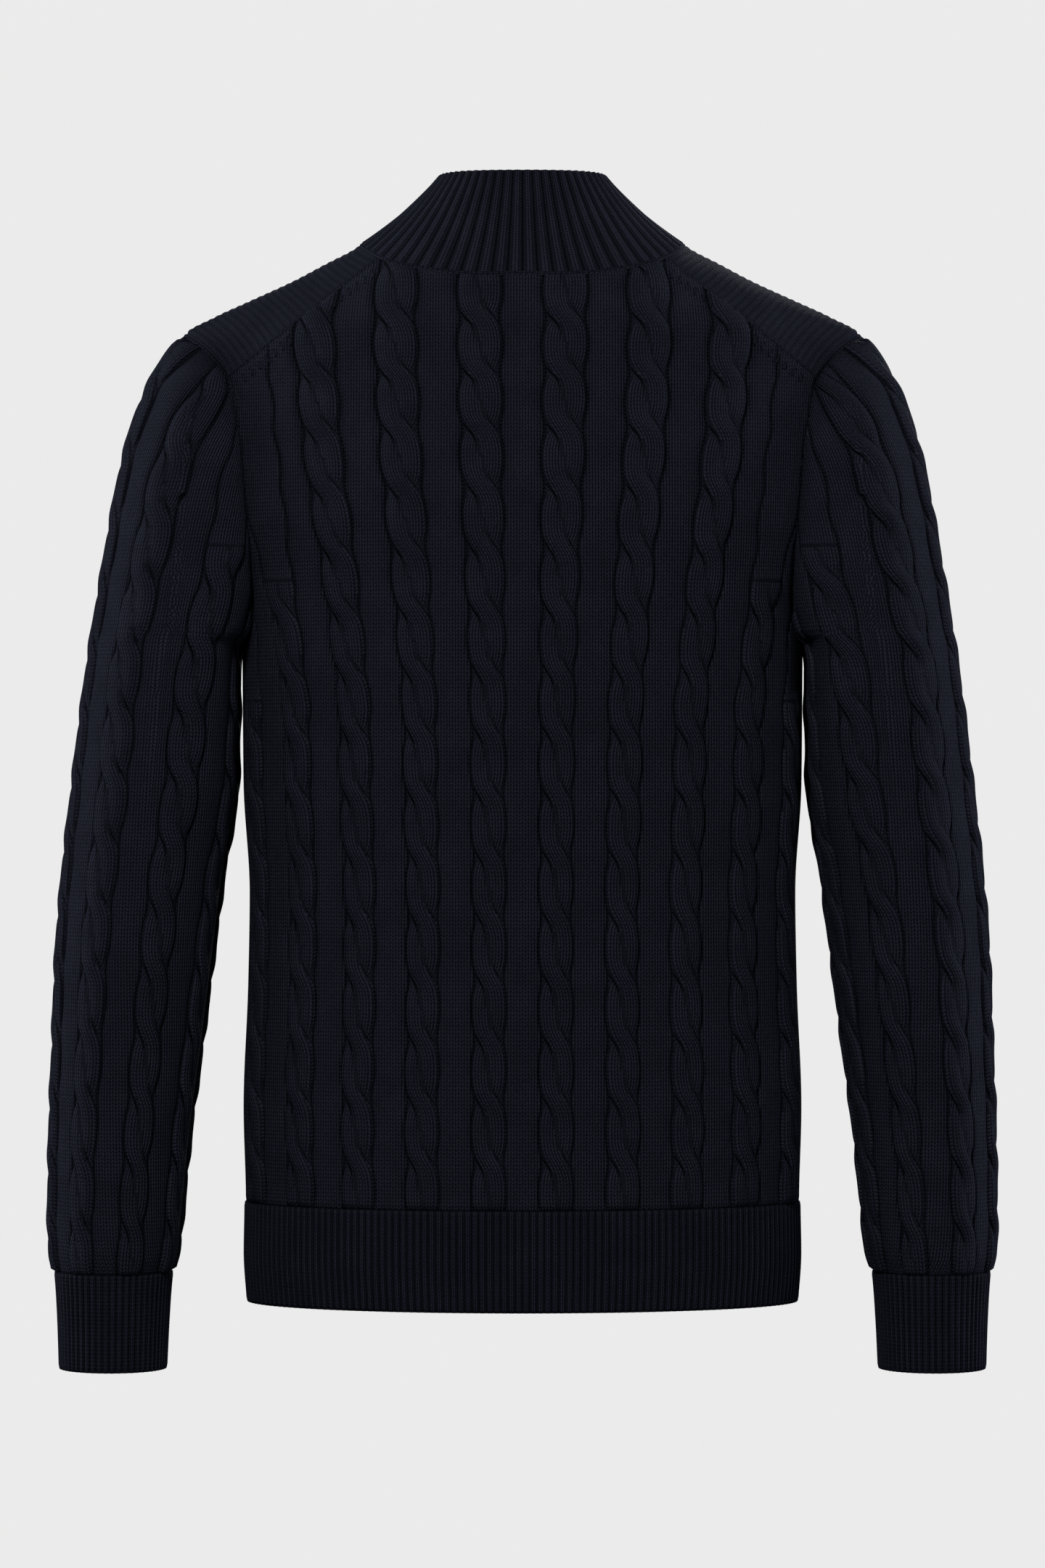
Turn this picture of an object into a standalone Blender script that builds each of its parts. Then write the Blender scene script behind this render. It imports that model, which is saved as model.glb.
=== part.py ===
"""Zip-up cable-knit cardigan, filled out as if worn: stand collar, shoulder yokes, set-in sleeves.

Frame: +Z up, the wearer's front toward -Y, the wearer's left toward +X. The origin is on the midline
at the height where the neck seam crosses the shoulders. Lengths in the tables are millimetres.
"""
import math
from functools import lru_cache

import bmesh
import bpy
from mathutils import Matrix, Vector
from mathutils.geometry import delaunay_2d_cdt

MM = 0.001

# Driving sizes, mm
WALL = 2.0              # plain cloth wall
SEAM = 0.2              # each piece stops this far short of a seam line
SLEEVE_SEAM = 0.8       # the same on a sleeve, whose edge meets the armhole at an angle
CABLE_HIGH = 3.4        # crest of a cable strand above the plain wall
CABLE_LOW = 1.2         # strand where it dives under its neighbour
RIB_HIGH = 1.3          # crest of a rib above the wall
CABLE_PINCH = 0.215     # half width of a cable at a crossing, in column spacings
CABLE_HALF_WIDTH = 0.275    # and half way between two crossings
STRAND_OFFSET = 0.115   # a strand's crest from the cable's centre, in column spacings
HEM_SEAM = -622.0
HEM_BOTTOM = -687.0
CUFF_SEAM = -668.0
CUFF_BOTTOM = -731.0
ARMPIT = -250.0
SHOULDER_TIP = -57.0
ZIP_HALF_GAP = 4.2      # cloth edge to zip centre line
STATION = 17.0          # spacing of the points along a seam
MITRE_REACH = 10.0      # how far from a seam the shared wall direction is felt

# Torso rings: height, half width, depth behind and before the side line (all to the cloth's inside)
TORSO = (
    (2.5, 103.2, 60, 38),
    (-2.4, 110.7, 65, 42),
    (-10.5, 126.7, 70, 48),
    (-22, 148.7, 78, 55),
    (-36, 179.7, 81, 61),
    (-45, 199.7, 83.5, 65),
    (-57, 219.7, 86, 69.5),
    (-72, 216.2, 88.5, 75),
    (-86, 212.7, 91, 80),
    (-120, 207.7, 97, 90),
    (-180, 196.7, 104, 101),
    (-250, 181.2, 106, 106),
    (-349, 180.2, 103, 104),
    (-420, 176.2, 100, 101),
    (-480, 177.2, 99, 99),
    (-560, 180.2, 99, 99),
    (-622, 178.7, 99, 99),
    (-655, 179.2, 98.5, 98),
    (-687, 177.2, 97, 96),
)
# How fast the torso falls away toward the shoulder's edge: height, exponent (0.5 is an ellipse)
FALL = ((2.5, 0.55), (-10, 0.6), (-45, 0.7), (-72, 0.68), (-120, 0.58), (-180, 0.5))
# Armhole seam: height, distance from the side line (the same before and behind)
ARMHOLE = (
    (-57, 0),
    (-62, 12),
    (-70, 21),
    (-86, 31),
    (-111, 38),
    (-131, 42),
    (-181, 44),
    (-220, 35),
    (-236, 26),
    (-246, 13),
    (-250, 0),
)
# Sleeve rings: height, outermost x, innermost x, half depth, squareness of the inner side
SLEEVE = (
    (-57, 220, 219.7, 2, 2.0),
    (-64, 226.7, 211, 17, 2.4),
    (-78, 235.7, 198, 31, 2.8),
    (-93, 243.7, 190, 41, 3.2),
    (-121, 253.7, 184, 51, 3.6),
    (-150, 260.7, 181, 58, 3.8),
    (-207, 270.7, 181, 63, 4.0),
    (-250, 277.7, 181.7, 65, 4.0),
    (-254, 278.3, 187.6, 65, 4.0),
    (-262, 279.5, 189.6, 65, 4.0),
    (-300, 284.7, 190.0, 64, 3.6),
    (-349, 290.7, 190.6, 62, 2.8),
    (-406, 297.2, 198.8, 58, 2.3),
    (-463, 301.7, 205.8, 55, 2.1),
    (-520, 303.7, 212.8, 51.5, 2.0),
    (-577, 305.7, 220.3, 48.5, 2.0),
    (-635, 306.4, 226.1, 45.5, 2.0),
    (-655, 305.7, 228.3, 44, 2.0),
    (-668, 303.2, 231.8, 40.5, 2.0),
    (-700, 301.2, 234.3, 39, 2.0),
    (-731, 300.2, 235.8, 38.5, 2.0),
)
# Column spacing of the cables above the armpit: height, mm on the torso, mm on a sleeve
SPREAD = (
    (-57, 57.5, 47.5),
    (-130, 55, 47.5),
    (-200, 51, 46.5),
    (-250, 48.5, 45),
    (-300, 46, 43.5),
)
# Heights of the torso's cable crossings: number from the top, height
TORSO_CROSSINGS = ((-3, 58), (0, -50.6), (2, -122), (5, -238), (14, -590.6), (16, -668))
SLEEVE_FIRST_CROSSING = -134.0
SLEEVE_CROSSING_PITCH = 41.8
COLUMNS_TO_SIDE = 5.2   # cable spacings from the centre back to the side seam
SLEEVE_COLUMN_SHIFT = 0.4

# Neck opening in plan, and the collar's top edge
NECK_HALF_WIDTH = 104.3
NECK_BACK = 78.0
NECK_FRONT = -75.5
NECK_SQUARE = 2.3
COLLAR_TOP_HALF_WIDTH = 52.8
COLLAR_TOP_BACK = 61.0
COLLAR_TOP_FRONT = -66.0
COLLAR_TOP_BACK_Z = 46.0
COLLAR_TOP_FRONT_Z = -8.0
COLLAR_LEVEL_TO = 1.25
COLLAR_RIBS = 64
HEM_RIB_PITCH = 4.6
CUFF_RIBS = 56
YOKE_RIBS = 25
COLLAR_FRONT_LENGTH = 64.5          # measured up the front from the neck seam
SLIDER_DROP = 14.0                  # slider's top below the collar's edge
YOKE_NECK_BACK = 91.0               # x where the yoke's back seam meets the collar
YOKE_NECK_FRONT = 92.0
YOKE_ARM_HEIGHT = -86.0             # where the yoke's seams meet the armhole
YOKE_BLEND = 16.0                   # height over which the wall direction turns there
UNDERARM_TILT = 1.4                 # how far the wall direction leans down at the underarm

NAVY = (0.0068, 0.0078, 0.0150)
RIB_NAVY = (0.0058, 0.0068, 0.0135)
TAPE_NAVY = (0.0050, 0.0058, 0.0110)
GUNMETAL = (0.10, 0.10, 0.11)


@lru_cache(None)
def smooth(table, column, height):
    """Value of a table's column at a height, through its rows on a smooth monotone curve."""
    rows = table if table[0][0] < table[-1][0] else table[::-1]
    if height <= rows[0][0]:
        return float(rows[0][column])
    if height >= rows[-1][0]:
        return float(rows[-1][column])
    i = max(k for k in range(len(rows) - 1) if rows[k][0] <= height)

    def slope(k):
        return (rows[k + 1][column] - rows[k][column]) / (rows[k + 1][0] - rows[k][0])

    def tangent(k):
        if k == 0 or k == len(rows) - 1:
            return slope(min(k, len(rows) - 2))
        before, after = slope(k - 1), slope(k)
        return 0.0 if before * after <= 0 else 2 * before * after / (before + after)

    span = rows[i + 1][0] - rows[i][0]
    t = (height - rows[i][0]) / span
    return (rows[i][column] * (1 + 2 * t) * (1 - t) ** 2 + tangent(i) * span * t * (1 - t) ** 2
            + rows[i + 1][column] * t * t * (3 - 2 * t) - tangent(i + 1) * span * t * t * (1 - t))


# ---- torso surface: an ellipse at each height, one for the back half and one for the front half ----

@lru_cache(None)
def torso_ring(z, back):
    """Half width, depth and running arc length from the centre line to the side line at a height."""
    half_width = smooth(TORSO, 1, z)
    depth = smooth(TORSO, 2 if back else 3, z)
    power = 2 * smooth(FALL, 1, z)
    steps = 72
    arcs = [0.0]
    for k in range(steps):
        a, b = k / steps * math.pi / 2, (k + 1) / steps * math.pi / 2
        across = half_width * (math.sin(b) - math.sin(a))
        inward = depth * (max(math.cos(b), 0) ** power - math.cos(a) ** power)
        arcs.append(arcs[-1] + math.hypot(across, inward))
    return half_width, depth, arcs


def side_arc(z, back):
    """Arc length from the centre line to the side line."""
    return torso_ring(z, back)[2][-1]


def torso_point(arc, z, back):
    """Point of the torso at a signed arc length from the centre line."""
    half_width, depth, arcs = torso_ring(round(z, 4), back)
    length = min(abs(arc), arcs[-1])
    k = min(int(length / arcs[-1] * (len(arcs) - 1)), len(arcs) - 2)
    while k > 0 and arcs[k] > length:
        k -= 1
    while k < len(arcs) - 2 and arcs[k + 1] < length:
        k += 1
    angle = (k + (length - arcs[k]) / (arcs[k + 1] - arcs[k])) / (len(arcs) - 1) * math.pi / 2
    sign = 1 if back else -1
    drop = max(math.cos(angle), 0.0) ** (2 * smooth(FALL, 1, z))
    return Vector((math.copysign(half_width * math.sin(angle), arc), sign * depth * drop, z))


def torso_arc(x, z, back):
    """Signed arc length of the torso point with this x."""
    half_width, _, arcs = torso_ring(round(z, 4), back)
    place = math.asin(min(abs(x) / half_width, 1.0)) / (math.pi / 2) * (len(arcs) - 1)
    k = min(int(place), len(arcs) - 2)
    return math.copysign(arcs[k] + (place - k) * (arcs[k + 1] - arcs[k]), x)


def torso_excess(x, y, z):
    """Above zero outside the torso surface."""
    depth = smooth(TORSO, 2 if y >= 0 else 3, z)
    return (x / smooth(TORSO, 1, z)) ** 2 + abs(y / depth) ** (1 / smooth(FALL, 1, z)) - 1


@lru_cache(None)
def torso_height(x, y):
    """Height of the shoulder surface over a plan position, the first one met from above."""
    step = 1.0
    height, best = TORSO[0][0], (9.9, 0.0)
    while height > -130:
        excess = torso_excess(x, y, height)
        if excess <= 0:
            break
        best = min(best, (excess, height))
        height -= step
    else:
        return best[1]
    low, high = height, height + step
    for _ in range(30):
        middle = (low + high) / 2
        if torso_excess(x, y, middle) > 0:
            high = middle
        else:
            low = middle
    return low


def torso_normal(point):
    """Outward direction of the torso surface."""
    step = 0.4
    slopes = []
    for axis in range(3):
        ahead, behind = point.copy(), point.copy()
        ahead[axis] += step
        behind[axis] -= step
        slopes.append(torso_excess(*ahead) - torso_excess(*behind))
    return Vector(slopes).normalized()


def on_torso(back):
    """Surface function of (arc, height) for the torso's back or front half."""
    def surface(arc, z, lift):
        point = torso_point(arc, z, back)
        return lifted(point, torso_normal(point), lift)
    return surface


# ---- sleeve surface: a ring at each height, open toward the armhole above the armpit ----

def armhole_depth(z):
    return smooth(ARMHOLE, 1, z)


@lru_cache(None)
def sleeve_end(z, back):
    """Where the sleeve's edge meets the torso at a height above the armpit."""
    half_width = smooth(TORSO, 1, z)
    depth = smooth(TORSO, 2 if back else 3, z)
    y = armhole_depth(z)
    share = (y / depth) ** (1 / smooth(FALL, 1, z))
    return Vector((half_width * math.sqrt(max(0.0, 1 - share)), y if back else -y, z))


def sleeve_ring_point(angle, z):
    """Point of the left sleeve's closed ring, from its outermost point (0) round to its innermost (pi)."""
    outer, inner = smooth(SLEEVE, 1, z), smooth(SLEEVE, 2, z)
    depth, power = smooth(SLEEVE, 3, z), 2 / smooth(SLEEVE, 4, z)
    centre, half = (outer + inner) / 2, (outer - inner) / 2
    cos, sin = math.cos(angle), math.sin(angle)
    if cos >= 0:
        return Vector((centre + half * cos, depth * sin, z))
    y = math.copysign(depth * abs(sin) ** power, sin)
    return Vector((centre - half * abs(cos) ** power, y, z))


@lru_cache(None)
def sleeve_limit(z):
    """Ring angle at which the sleeve's edge lies at a height."""
    if z <= ARMPIT:
        return math.pi
    ratio = min(armhole_depth(z) / smooth(SLEEVE, 3, z), 1.0)
    return math.pi - math.asin(ratio ** (smooth(SLEEVE, 4, z) / 2))


def sleeve_place(fraction, z):
    """Left sleeve point: fraction -1 (front edge) to 1 (back edge) of the ring."""
    angle = fraction * sleeve_limit(z)
    point = sleeve_ring_point(angle, z)
    if z > ARMPIT:
        back = fraction >= 0
        end = sleeve_ring_point(math.copysign(sleeve_limit(z), fraction), z)
        point += (sleeve_end(z, back) - end) * abs(fraction) ** 3
    return point


@lru_cache(None)
def sleeve_arcs(z):
    """Running arc length of the half ring at a height."""
    steps = 48
    points = [sleeve_place(k / steps, z) for k in range(steps + 1)]
    arcs = [0.0]
    for k in range(steps):
        arcs.append(arcs[-1] + (points[k + 1] - points[k]).length)
    return arcs


def sleeve_at(arc, z):
    """Left sleeve point at a signed arc length from the outermost line."""
    z = round(z, 4)
    arcs = sleeve_arcs(z)
    length = min(abs(arc), arcs[-1])
    k = 0
    while k < len(arcs) - 2 and arcs[k + 1] < length:
        k += 1
    fraction = (k + (length - arcs[k]) / (arcs[k + 1] - arcs[k])) / (len(arcs) - 1)
    return sleeve_place(math.copysign(fraction, arc), z)


def sleeve_normal(arc, z):
    """Outward direction of the left sleeve."""
    reach = sleeve_arcs(round(z, 4))[-1]
    near, far = max(arc - 1.5, -reach), min(arc + 1.5, reach)
    upper, lower = min(z + 2.0, SHOULDER_TIP - 0.2), max(z - 2.0, CUFF_BOTTOM)
    if z <= ARMPIT:
        upper = min(upper, ARMPIT)
    share = arc / reach
    across = sleeve_at(far, z) - sleeve_at(near, z)
    along = (sleeve_at(share * sleeve_arcs(round(upper, 4))[-1], upper)
             - sleeve_at(share * sleeve_arcs(round(lower, 4))[-1], lower))
    return across.cross(along).normalized()


def on_sleeve(side):
    """Surface function of (arc, height) for the left (1) or right (-1) sleeve."""
    def surface(arc, z, lift):
        point = lifted(sleeve_at(arc, z), sleeve_normal(arc, z), lift)
        return Vector((side * point.x, point.y, point.z))
    return surface


# ---- seams: near one, both pieces thicken along a shared direction, so that their walls meet ----

@lru_cache(None)
def seam_lines():
    """Left half of the armhole, neck and yoke seams: lists of (point, shared direction)."""
    lines = []
    for back in (True, False):
        line = []
        for k in range(49):
            z = ARMPIT + (SHOULDER_TIP - 0.3 - ARMPIT) * (k / 48) ** 2 * (3 - 2 * k / 48)
            point = sleeve_end(z, back)
            reach = sleeve_arcs(round(z, 4))[-1]
            normal = sleeve_normal(reach if back else -reach, z)
            on_yoke = min(max((z - YOKE_ARM_HEIGHT) / YOKE_BLEND + 0.5, 0.0), 1.0)
            body = torso_normal(point) * (1 - on_yoke)
            if on_yoke > 0:
                body += yoke_normal(1.0, yoke_across(max(z, YOKE_ARM_HEIGHT), back)) * on_yoke
            normal = normal + body
            normal.z -= UNDERARM_TILT * max(0.0, 1 - (z - ARMPIT) / 30)
            line.append((point, normal.normalized()))
        lines.append(line)
        line = []
        for k in range(25):
            point = yoke_seam(k / 24, back)
            normal = torso_normal(point) + yoke_normal(k / 24, 1.0 if back else -1.0)
            line.append((point, normal.normalized()))
        lines.append(line)
    neck = []
    for k in range(65):
        angle = math.pi * k / 64
        point = neck_point(angle)
        neck.append((point, (torso_normal(point) + collar_normal(angle, 0.0)).normalized()))
    lines.append(neck)
    return lines


def lifted(point, normal, lift):
    """Moves a surface point outward, along the shared direction where a seam is near."""
    side = math.copysign(1, point.x)
    place = Vector((abs(point.x), point.y, point.z))
    away = Vector((side * normal.x, normal.y, normal.z))
    nearest = (MITRE_REACH, None)
    for line in seam_lines():
        for (a, first), (b, second) in zip(line, line[1:]):
            run = b - a
            t = min(max((place - a).dot(run) / max(run.length_squared, 1e-9), 0.0), 1.0)
            distance = (place - a - run * t).length
            if distance < nearest[0]:
                nearest = (distance, first.lerp(second, t))
    if nearest[1]:
        share = min(1.0, 1.1 * (1 - nearest[0] / MITRE_REACH))
        away = away.lerp(nearest[1], share).normalized()
    return point + Vector((side * away.x, away.y, away.z)) * lift


# ---- cloth panels: a knitted outside with raised cables over a plain inside ----

def inside(point, outline, margin):
    """Whether a flat point lies within an outline and at least margin from it."""
    x, y = point
    odd = False
    for (ax, ay), (bx, by) in zip(outline, outline[1:] + outline[:1]):
        if (ay > y) != (by > y) and x < (bx - ax) * (y - ay) / (by - ay) + ax:
            odd = not odd
        run = max((bx - ax) ** 2 + (by - ay) ** 2, 1e-9)
        t = min(max(((x - ax) * (bx - ax) + (y - ay) * (by - ay)) / run, 0), 1)
        if math.hypot(x - ax - t * (bx - ax), y - ay - t * (by - ay)) < margin:
            return False
    return odd


def triangulate(outline, points, ties):
    """Flat Delaunay triangles inside an outline, through the given points and tie lines."""
    flat = [Vector(p) for p in outline] + [Vector(p) for p in points]
    result = delaunay_2d_cdt(flat, ties, [list(range(len(outline)))], 1, 1e-6)
    source = [links[0] for links in result[3]]
    return [[source[k] for k in face] for face in result[2]]


def panel(name, surface, outline, features, ties, inner_points, colour):
    """A wall whose outside goes through raised features and whose inside is plain."""
    kept = {k: p for k, p in enumerate(features) if inside(p[:2], outline, 3.6)}
    order = {k: len(outline) + n for n, k in enumerate(kept)}
    edges = [(order[a], order[b]) for a, b in ties if a in kept and b in kept]
    outer_faces = triangulate(outline, [p[:2] for p in kept.values()], edges)
    plain = [p for p in inner_points if inside(p, outline, 9.0)]
    inner_faces = triangulate(outline, plain, [])
    mesh = bmesh.new()
    outer = [mesh.verts.new(surface(a, z, WALL) * MM) for a, z in outline]
    outer += [mesh.verts.new(surface(a, z, WALL + lift) * MM) for a, z, lift in kept.values()]
    inner = [mesh.verts.new(surface(a, z, 0.0) * MM) for a, z in outline]
    inner += [mesh.verts.new(surface(a, z, 0.0) * MM) for a, z in plain]
    for face in outer_faces:
        mesh.faces.new([outer[k] for k in face])
    for face in inner_faces:
        mesh.faces.new([inner[k] for k in reversed(face)])
    for k in range(len(outline)):
        after = (k + 1) % len(outline)
        mesh.faces.new((outer[k], inner[k], inner[after], outer[after]))
    return finish(name, mesh, colour)


def finish(name, mesh, colour, roughness=0.95, metallic=0.0):
    """Turns a bmesh into a named object with its own material."""
    bmesh.ops.triangulate(mesh, faces=mesh.faces[:])
    bmesh.ops.recalc_face_normals(mesh, faces=mesh.faces[:])
    if mesh.calc_volume(signed=True) < 0:
        bmesh.ops.reverse_faces(mesh, faces=mesh.faces[:])
    data = bpy.data.meshes.new(name)
    mesh.to_mesh(data)
    mesh.free()
    item = bpy.data.objects.new(name, data)
    bpy.context.collection.objects.link(item)
    material = bpy.data.materials.new(name + "_finish")
    material.use_nodes = True
    shader = material.node_tree.nodes["Principled BSDF"]
    shader.inputs["Base Color"].default_value = (*colour, 1.0)
    shader.inputs["Roughness"].default_value = roughness
    shader.inputs["Metallic"].default_value = metallic
    data.materials.append(material)
    return item


def cable_features(columns, crossings, place, lean):
    """Points and tie lines of rope cables.

    columns: (centre, first crossing, last crossing) in column spacings; place(column, phase) gives the flat
    position and lean the side to which the upper strand runs as it comes down.
    """
    points, ties = [], []
    for centre, first, last in columns:
        groove_before = None
        for crossing in range(first, last + 1):
            if crossing not in crossings:
                continue
            strands = {}
            for phase, pinch in ((crossing, CABLE_PINCH), (crossing + 0.5, CABLE_HALF_WIDTH)):
                grooves = []
                for side in (-1, 1):
                    grooves.append(len(points))
                    points.append((*place(centre + side * pinch, phase), 0.0))
                if groove_before:
                    ties += list(zip(groove_before, grooves))
                groove_before = grooves
            for phase, upper in ((crossing - 0.2, -lean), (crossing + 0.2, lean)):
                for side in (-1, 1):
                    strands[phase, side] = len(points)
                    lift = CABLE_HIGH if side == upper else CABLE_LOW
                    points.append((*place(centre + side * STRAND_OFFSET, phase), lift))
            ties.append((strands[crossing - 0.2, -lean], strands[crossing + 0.2, lean]))
    return points, ties


def spread(line, step=STATION):
    """Points at even steps along a finely drawn flat line, without its last point."""
    lengths = [0.0]
    for (ax, ay), (bx, by) in zip(line, line[1:]):
        lengths.append(lengths[-1] + math.hypot(bx - ax, by - ay))
    count = max(1, round(lengths[-1] / step))
    points = []
    for n in range(count):
        target = lengths[-1] * n / count
        k = max(i for i in range(len(line) - 1) if lengths[i] <= target)
        t = (target - lengths[k]) / max(lengths[k + 1] - lengths[k], 1e-9)
        points.append((line[k][0] + t * (line[k + 1][0] - line[k][0]),
                       line[k][1] + t * (line[k + 1][1] - line[k][1])))
    return points


def neck_plan(angle):
    """Plan point of the neck seam: angle 0 at the centre back, pi at the centre front."""
    power = 2 / NECK_SQUARE
    depth = NECK_BACK if math.cos(angle) >= 0 else -NECK_FRONT
    return (math.copysign(NECK_HALF_WIDTH * abs(math.sin(angle)) ** power, math.sin(angle)),
            math.copysign(depth * abs(math.cos(angle)) ** power, math.cos(angle)))


@lru_cache(None)
def neck_point(angle):
    """Point of the neck seam on the torso surface."""
    x, y = neck_plan(angle)
    return Vector((x, y, torso_height(x, y)))


@lru_cache(None)
def yoke_neck_angle(back):
    """Neck angle where the yoke's seam meets the collar."""
    goal = YOKE_NECK_BACK if back else YOKE_NECK_FRONT
    low, high = (0.0, math.pi / 2) if back else (math.pi, math.pi / 2)
    for _ in range(40):
        middle = (low + high) / 2
        if neck_plan(middle)[0] < goal:
            low = middle
        else:
            high = middle
    return (low + high) / 2


@lru_cache(None)
def yoke_seam(t, back):
    """Point of the yoke's back or front seam on the left side, from the neck (0) to the armhole (1)."""
    start = neck_point(yoke_neck_angle(back))
    end = sleeve_end(YOKE_ARM_HEIGHT, back)
    x, z = start.x + (end.x - start.x) * t, start.z + (end.z - start.z) * t
    depth, half_width = smooth(TORSO, 2 if back else 3, z), smooth(TORSO, 1, z)
    y = depth * max(0.0, 1 - (x / half_width) ** 2) ** smooth(FALL, 1, z)
    return Vector((x, y if back else -y, z))


@lru_cache(None)
def armhole_height(depth):
    """Height of the armhole seam's upper part at a distance from the side line."""
    low, high = YOKE_ARM_HEIGHT, SHOULDER_TIP
    for _ in range(40):
        middle = (low + high) / 2
        if armhole_depth(middle) > depth:
            low = middle
        else:
            high = middle
    return low


def yoke_across(z, back):
    """Place across the yoke's arm end of a height on the armhole seam."""
    share = math.asin(min(1.0, armhole_depth(z) / armhole_depth(YOKE_ARM_HEIGHT))) / (math.pi / 2)
    return share if back else -share


@lru_cache(None)
def yoke_point(r, across):
    """Point of the left yoke: r from the neck (0) to the armhole (1), across -1 (front) to 1 (back).

    It arches over the shoulder's ridge between its seams, and its ends lie on the neck and armhole seams.
    """
    back = across >= 0
    a = abs(across)
    rise, fall = math.sin(a * math.pi / 2), 1 - math.cos(a * math.pi / 2)
    tip_x = smooth(TORSO, 1, SHOULDER_TIP)

    def arch(t):
        seam = yoke_seam(t, back)
        ridge_x = NECK_HALF_WIDTH + (tip_x - NECK_HALF_WIDTH) * t
        ridge_z = torso_height(ridge_x, 0.0) if t < 1 else SHOULDER_TIP
        return Vector((ridge_x + (seam.x - ridge_x) * fall, seam.y * rise,
                       ridge_z + (seam.z - ridge_z) * fall))
    seam_angle = yoke_neck_angle(back)
    neck = neck_point(math.pi / 2 + (seam_angle - math.pi / 2) * a)
    arm = sleeve_end(round(armhole_height(armhole_depth(YOKE_ARM_HEIGHT) * rise), 5), back)
    return arch(r) + (neck - arch(0.0)) * (1 - r) + (arm - arch(1.0)) * r


def yoke_normal(r, across):
    """Outward direction of the left yoke."""
    low, high = max(r - 0.01, 0.0), min(r + 0.01, 1.0)
    front, behind = max(across - 0.02, -1.0), min(across + 0.02, 1.0)
    along = yoke_point(high, across) - yoke_point(low, across)
    over = yoke_point(r, behind) - yoke_point(r, front)
    return along.cross(over).normalized()


def torso_pitch(z, back):
    """Spacing of the torso's cables at a height."""
    even = side_arc(round(max(min(z, -300.0), HEM_BOTTOM), 4), back) / COLUMNS_TO_SIDE
    return even if z < -300 else smooth(SPREAD, 1, z) * even / SPREAD[-1][1]


def torso_phase_height(phase):
    return smooth(TORSO_CROSSINGS, 1, phase)


def flat(point, back):
    return (torso_arc(point.x, point.z, back), point.z)


def torso_outline(back):
    """Left edge of a torso panel in the flat, from the hem's centre out and up to the neck's centre."""
    fine = 24
    side_line = [(side_arc(round(z, 4), back), z) for z in
                 [HEM_SEAM + (ARMPIT - HEM_SEAM) * k / fine for k in range(fine + 1)]]
    rows = [ARMPIT + (YOKE_ARM_HEIGHT - ARMPIT) * (k / 60) ** 2 for k in range(61)]
    armhole = [flat(sleeve_end(z, back), back) for z in rows]
    yoke = [flat(yoke_seam(k / 12, back), back) for k in range(12, -1, -1)]
    stop = yoke_neck_angle(back)
    centre = 0.0 if back else math.pi
    neck = [flat(neck_point(stop + (centre - stop) * k / 24), back) for k in range(25)]
    if not back:
        neck = [p for p in neck if p[0] > ZIP_HALF_GAP + 3] + [(ZIP_HALF_GAP, neck[-1][1])]
    bottom_start = (0.0 if back else ZIP_HALF_GAP, HEM_SEAM)
    bottom = [bottom_start, side_line[0]]
    sides = spread(bottom) + spread(side_line) + spread(armhole, 10.0)
    line = sides + spread(yoke, 9.0) + spread(neck, 11.0)
    if back:
        return line + [neck[-1]]
    return line + spread([neck[-1], bottom_start])


def shrink(outline, gap):
    """Moves an anticlockwise outline inward by a gap."""
    moved = []
    count = len(outline)
    for k in range(count):
        before, here, after = (Vector(outline[(k + d) % count]) for d in (-1, 0, 1))
        first, second = (here - before).normalized(), (after - here).normalized()
        inward = Vector((-first.y - second.y, first.x + second.x))
        inward = inward.normalized() / max(0.5, math.sqrt((1 + first.dot(second)) / 2))
        moved.append(tuple(here + inward * gap))
    return moved


def inner_grid(half_span, low, high, step):
    """A coarse grid of flat points for a plain inside."""
    across = int(half_span / step)
    rows = int((high - low) / step)
    return [(i * step + (j % 2) * 0.35 * step, low + j * step) for j in range(1, rows)
            for i in range(-across, across + 1)]


def torso_columns(back):
    """Cable columns: centre in spacings, first and last crossing."""
    starts = {0.5: 0, 1.5: 0, 2.5: 1, 3.5: 5, 4.5: 7}
    if not back:
        starts = {0.5: 2, 1.5: 1, 2.5: 1, 3.5: 5, 4.5: 7}
    return [(centre, first, 14) for centre, first in starts.items()]


def back_panel():
    right = torso_outline(True)
    outline = right + [(-a, z) for a, z in right[::-1][1:-1]]
    columns = torso_columns(True)
    columns = [(-c, f, l) for c, f, l in columns] + columns

    def place(column, phase):
        z = torso_phase_height(phase)
        return column * torso_pitch(z, True), z
    points, ties = cable_features(columns, range(15), place, -1)
    grid = inner_grid(240, HEM_SEAM, 0, 46)
    return panel("back_panel", on_torso(True), shrink(outline, SEAM), points, ties, grid, NAVY)


def front_panel(name, side):
    outline = torso_outline(False)
    if side < 0:
        outline = [(-a, z) for a, z in outline[::-1]]
    columns = [(side * c, f, l) for c, f, l in torso_columns(False)]

    def place(column, phase):
        z = torso_phase_height(phase)
        return column * torso_pitch(z, False), z
    points, ties = cable_features(columns, range(15), place, 1)
    grid = inner_grid(240, HEM_SEAM, -60, 46)
    grid = [p for p in grid if side * p[0] > 30]
    grid += [(side * 17.0, HEM_SEAM + 14.0 * k) for k in range(1, 39)]
    return panel(name, on_torso(False), shrink(outline, SEAM), points, ties, grid, NAVY)


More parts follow.
